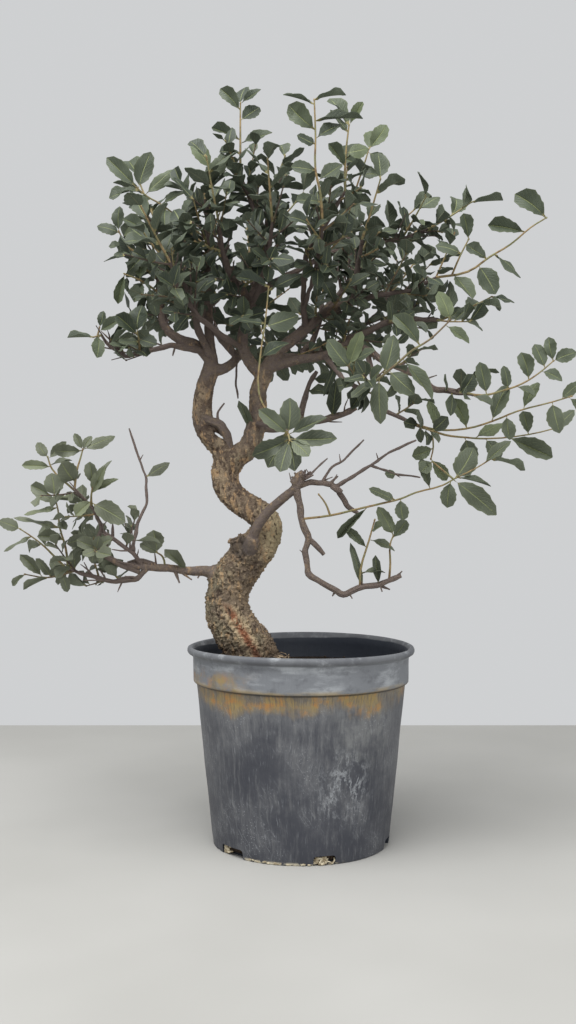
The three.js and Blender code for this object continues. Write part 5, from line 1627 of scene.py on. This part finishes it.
# More leafy shoots for each limb of the crown, with smaller leaves, which fill its depth
crownFill = {
    **growth,
    "shoots": {
        "leftLimb": 11, "tanLimb": 6, "centreLimb": 11, "backLimb": 10, "backLeftLimb": 9, "frontLimb": 9,
        "innerLimb": 9, "crownLeader": 6, "frontLeftLimb": 7, "frontMidLimb": 6, "rearLimb": 10,
        "rearRightLimb": 9, "rearLowLimb": 7, "rightLimb": 10, "rightUpperLimb": 10, "backRightLimb": 10,
        "farRightLimb": 5, "tanShoot": 8, "tallShoot": 9, "lowRightLimb": 7, "outerRightShoot": 6,
        "lowerRightLimb": 3, "hangingShoot": 2, "lowerCrownLimb": 8, "frontRightShoot": 4,
        "leftHigh": 5, "leftLow": 4, "leftFront": 2,
    },
    "centre": (-25, 5, 500), "from": 0.38, "stem": 20, "stemDraw": 20, "leaves": 5, "leavesDraw": 4,
    "outward": 0.7, "sideways": 0.7, "upward": 0.3, "lowest": -0.2, "clearances": (2.1, 1.8, 1.6),
    "length": 12.5, "lengthDraw": 8, "shape": 0.54, "shapeDraw": 0.16, "seed": 4821,
}


# Keeps shoots with more than one leaf, and ends each stem at its last leaf
def growFill(firstOwner):
    rule = crownFill
    draw = makeDraw(rule["seed"])
    centre = Vector(rule["centre"])
    owner = firstOwner
    groups = {}
    for limb, count in rule["shoots"].items():
        points = limbPoints(limb)
        groups[limb] = []
        for index in range(count):
            place = rule["from"] + (1 - rule["from"]) * (index + draw()) / count
            root, direction = along(points, place)
            sideways = outFrom(direction, math.radians(index * rule["goldenAngle"] + 60 * draw()))
            outward = (root - centre).normalized()
            heading = outward * rule["outward"] + sideways * rule["sideways"] + up * rule["upward"]
            heading.z = max(heading.z, rule["lowest"])
            length = rule["stem"] + rule["stemDraw"] * draw()
            stem = ruleStem(points, place, heading.normalized(), length)
            fill = rule["leaves"] + int(rule["leavesDraw"] * draw())
            shoot = {"stems": [stem], "leaves": [], "fill": fill, "owner": owner}
            fillShoot(shoot, draw, rule)
            if len(shoot["leaves"]) > 1:
                shoot["stems"] = [[along(stem, share * shoot["reach"])[0] for share in (0, 0.45, 1)]]
                take(samplesAlong(stem), owner, 1)
                groups[limb].append(shoot)
            owner += 1
    return groups


# Single leaves that the photo shows on bare wood: limb, place, tip, width and facing
looseLeaves = [
    ["bareShoot", 0.62, -117, -12, 333, 9, 0.7], ["darkArcSide", 0.55, 70, -50, 321, 9, 0.8],
    ["bareShoot", 0.08, -120, -30, 262, 7, 0.5], ["leftBranch", 0.55, -112, -30, 257, 8, 0.6],
    ["darkHanging", 0.9, 62, -60, 252, 7, 0.6], ["darkHanging", 0.8, 42, -58, 262, 7, 0.8],
    ["lowRightLimb", 0.5, 18, -30, 392, 9, 0.7], ["rightLeader", 0.5, -52, -14, 384, 7, 0.7],
    ["redShoot", 0.6, 22, -20, 392, 12, 0.9], ["redShoot", 0.85, 30, -16, 402, 12, 0.8],
    ["redLimb", 0.7, 30, -30, 399, 13, 0.9], ["redLimb", 0.9, 56, -30, 398, 13, 0.9],
    ["frontRightShoot", 0.4, 28, -54, 395, 13, 0.9], ["frontRightShoot", 0.5, 42, -62, 382, 13, 0.9],
    ["starShoot", 1, -27, -118, 325, 17, 0.9], ["starShoot", 0.97, -6, -120, 322, 16, 0.9],
]


def growLoose():
    leaves = [handLeaf(limbPoints(limb), place, (x, y, z), width, facing)
              for limb, place, x, y, z, width, facing in looseLeaves]
    return {"stems": [], "leaves": leaves}


# Sizes are shares of a blade's length, or of its half width. Fits are flatness and size, tried in turn.
# Forms are belly, roundness, fold, droop, wave, bend and twist in degrees
leafShape = {
    "places": (0, 0.1, 0.2, 0.31, 0.38, 0.5, 0.57, 0.69, 0.76, 0.89, 1),
    "plainPlaces": (0, 0.12, 0.24, 0.46, 0.6, 0.85, 1),
    "stalk": 0.1, "stalkHalf": 0.055, "tooth": 0.05, "thickness": 0.014, "seed": 909,
    "fits": ((1, 1), (0.6, 1), (0.3, 1), (0.3, 0.92), (0.3, 0.84), (0.2, 0.75), (0.2, 0.6)),
    "forms": [
        (1.1, 0.55, 0.1, 0.12, 0.03, 0, 0),
        (1.35, 0.5, 0.15, 0.2, 0.045, 0.06, 14),
        (0.95, 0.45, 0.04, 0.06, 0.055, -0.05, -16),
        (1.2, 0.62, 0.12, 0.18, 0.06, -0.09, 22),
        (0.88, 0.52, -0.05, 0.26, 0.045, 0.05, -9),
        (1.5, 0.45, 0.19, 0.03, 0.035, 0.03, 6),
    ],
}


# Half width of a blade at a place along it: a narrow stalk, then a round-ended belly
def bladeHalf(place, belly, roundness):
    rule = leafShape
    share = (place - rule["stalk"]) / (1 - rule["stalk"])
    if share <= 0:
        return rule["stalkHalf"]
    return max(math.sin(math.pi * share ** belly) ** roundness, rule["stalkHalf"])


# One blade a metre long on +Y, facing +Z: a grid drawn in, folded and waved row by row
def makeBlade(form, places, finishes):
    rule = leafShape
    belly, roundness, fold, droop, wave, bend, twist = form
    last = len(places) - 1
    bpy.ops.mesh.primitive_grid_add(x_subdivisions=2, y_subdivisions=last, size=1)
    blade = bpy.context.object
    for entry in blade.data.uv_layers[0].data:
        entry.uv.y = places[round(entry.uv.y * last)]
    for index, place in enumerate(places):
        low = index / last - 0.5
        sign = 1 if index % 2 else -1
        half = bladeHalf(place, belly, roundness)
        width = half + sign * rule["tooth"] * (1 < index < last)
        swing = bend * math.sin(place * math.pi)
        centre = (0, low, 0)
        selectPoints(blade, lambda corner: abs(corner.co.y - low) < 0.02)
        bpy.ops.transform.resize(value=(width, 1, 1), center_override=centre)
        turn = math.radians(twist * place)
        if turn:
            bpy.ops.transform.rotate(value=turn, orient_axis="Y", center_override=centre)
        bpy.ops.transform.translate(value=(swing, place - low + 1, -droop * place * place))
        for side in (-1, 1):
            selectPoints(blade, lambda corner: abs(corner.co.y - place - 1) < 1e-3
                         and (corner.co.x - swing) * side > width / 4)
            lift = fold * half + wave * side * math.sin(place * 3 * math.pi)
            bpy.ops.transform.translate(value=(0, 0, lift))
    bpy.ops.mesh.select_all(action="SELECT")
    bpy.ops.transform.translate(value=(0, -1, 0))
    bpy.ops.object.mode_set(mode="OBJECT")
    for finish in finishes:
        blade.data.materials.append(finish)
    applyModifier(blade, "SOLIDIFY", {"thickness": rule["thickness"], "offset": 0,
                                      "material_offset": 1, "material_offset_rim": 1})
    return blade


# Lays a blade on its leaf, flatter or a little smaller where it would leave the solids' box
def placeBlade(blade, leaf, tint):
    twin = copyOf(blade)
    length = leaf["length"]
    columns = (leaf["side"] * leaf["width"], leaf["direction"] * length, leaf["face"] * length)
    flat = readPoints(twin, "co")
    low, high = np.array(solidBox)
    for flatness, shrink in leafShape["fits"]:
        sized = np.array([list(column * shrink * 0.001) for column in columns])
        sized[2] *= flatness
        spots = flat @ sized + np.array(leaf["base"]) * 0.001
        if (spots > low).all() and (spots < high).all():
            break
    writePoints(twin, spots)
    markAll(twin, "leafTint", tint)
    return twin


def makeBud(stem):
    bud = addBall()
    direction = (stem[-1] - stem[-2]).normalized()
    turned = up.rotation_difference(direction).to_matrix().to_4x4()
    place = Matrix.Translation(inMetres(stem[-1] - direction * 0.7))
    bud.data.transform(place @ turned @ Matrix.Diagonal((0.9, 0.9, 1.4, 1)))
    return bud


# Joins each shoot's stems, buds and leaves: fine blades on the sprays, plainer ones in the crown's depth
def makeFoliage(blades, groups, finish):
    draw = makeDraw(leafShape["seed"])
    count = 0
    for name, nodes, group in groups:
        parts = []
        choice = blades["fine" if nodes else "plain"]
        # Sprays at the crown's left and right sides and the low ones get lighter leaf tints: painted light
        isPaintedLit = "left" in name and "Limb" not in name or "right" in name or "low_" in name
        light = 0.4 if isPaintedLit else 0
        for shoot in group:
            age = 0.35 + 0.65 * draw() if nodes else 0.6 * draw()
            for index, stem in enumerate(shoot["stems"]):
                radii = taper(0.95 if index else 1.15, 0.6, len(stem)) if nodes else [0.9, 0.75, 0.5]
                for part in (drawStem(stem, radii, 1, 3 if nodes else 2), makeBud(stem)):
                    part.data.materials.append(finish)
                    markAll(part, "leafTint", age)
                    parts.append(part)
            for leaf in shoot["leaves"]:
                # Leaves that fill the crown's depth get darker tints: painted shade
                tint = light + (1 - light) * (1 if nodes else 0.6) * draw() ** 1.5
                parts.append(placeBlade(choice[int(draw() * len(choice))], leaf, tint))
                count += 1
        finishPiece(joinPieces(parts, name), "leaves", *nodes)
    for blade in blades["fine"] + blades["plain"]:
        bpy.data.objects.remove(blade)
    print("foliage:", count, "leaves in", len(groups), "pieces")


# Lights are their name, place, target, size and power
studio = {
    "camera": (-0.0113, -1.0285, 0.2961), "pitch": 0.42, "lens": 41.1, "sensor": 36, "floorReach": 0.53,
    "world": 0.64, "worldColour": (0.97, 0.985, 1.0),
    "lights": [
        ("softOverhead", (-0.3, -0.55, 1.55), (-0.02, 0, 0.3), 1.1, 30),
        ("frontFill", (0.75, -1.5, 0.7), (0, 0, 0.3), 1.2, 9),
    ],
}


def setCamera():
    look = studio
    bpy.ops.object.camera_add(location=look["camera"], rotation=(math.radians(90 - look["pitch"]), 0, 0))
    camera = bpy.context.object
    camera.data.lens = look["lens"]
    camera.data.sensor_width = look["sensor"]
    bpy.context.scene.camera = camera


def layFloor():
    bpy.ops.mesh.primitive_grid_add(x_subdivisions=8, y_subdivisions=8, size=studio["floorReach"] * 2)
    floor = bpy.context.object
    floor.name = "studioFloor"
    floor.data.materials.append(paintFloor())


def setLights():
    world = bpy.data.worlds.new("studioAir")
    world.use_nodes = True
    air = world.node_tree.nodes["Background"]
    air.inputs["Color"].default_value = (*studio["worldColour"], 1)
    air.inputs["Strength"].default_value = studio["world"]
    bpy.context.scene.world = world
    for name, place, target, size, power in studio["lights"]:
        aim = (Vector(target) - Vector(place)).to_track_quat("-Z", "Y").to_euler()
        bpy.ops.object.light_add(type="AREA", location=place, rotation=aim)
        light = bpy.context.object
        light.name = name
        light.data.size = size
        light.data.energy = power
    bpy.context.scene.view_settings.view_transform = "Standard"


makePot(paintPot())
makeSoil(paintSoil(), paintRootlet(), paintCrust())
makeWood(paintBark())
sprays = growSprays()
groups = [(shoot["name"] + "_leafy", [shoot["name"]], [shoot]) for shoot in sprays]
fillGroups = growFill(len(sprays) + 1)
fillGroups["loose_leaves"] = [growLoose()]
groups += [("fill_" + limb, [], group) for limb, group in fillGroups.items() if group]
leafFinishes = [paintLeafTop(), paintLeafUnder()]
blades = {
    "fine": [makeBlade(form, leafShape["places"], leafFinishes) for form in leafShape["forms"]],
    "plain": [makeBlade(form, leafShape["plainPlaces"], leafFinishes) for form in leafShape["forms"]],
}
makeFoliage(blades, groups, paintShoot())
setCamera()
layFloor()
setLights()
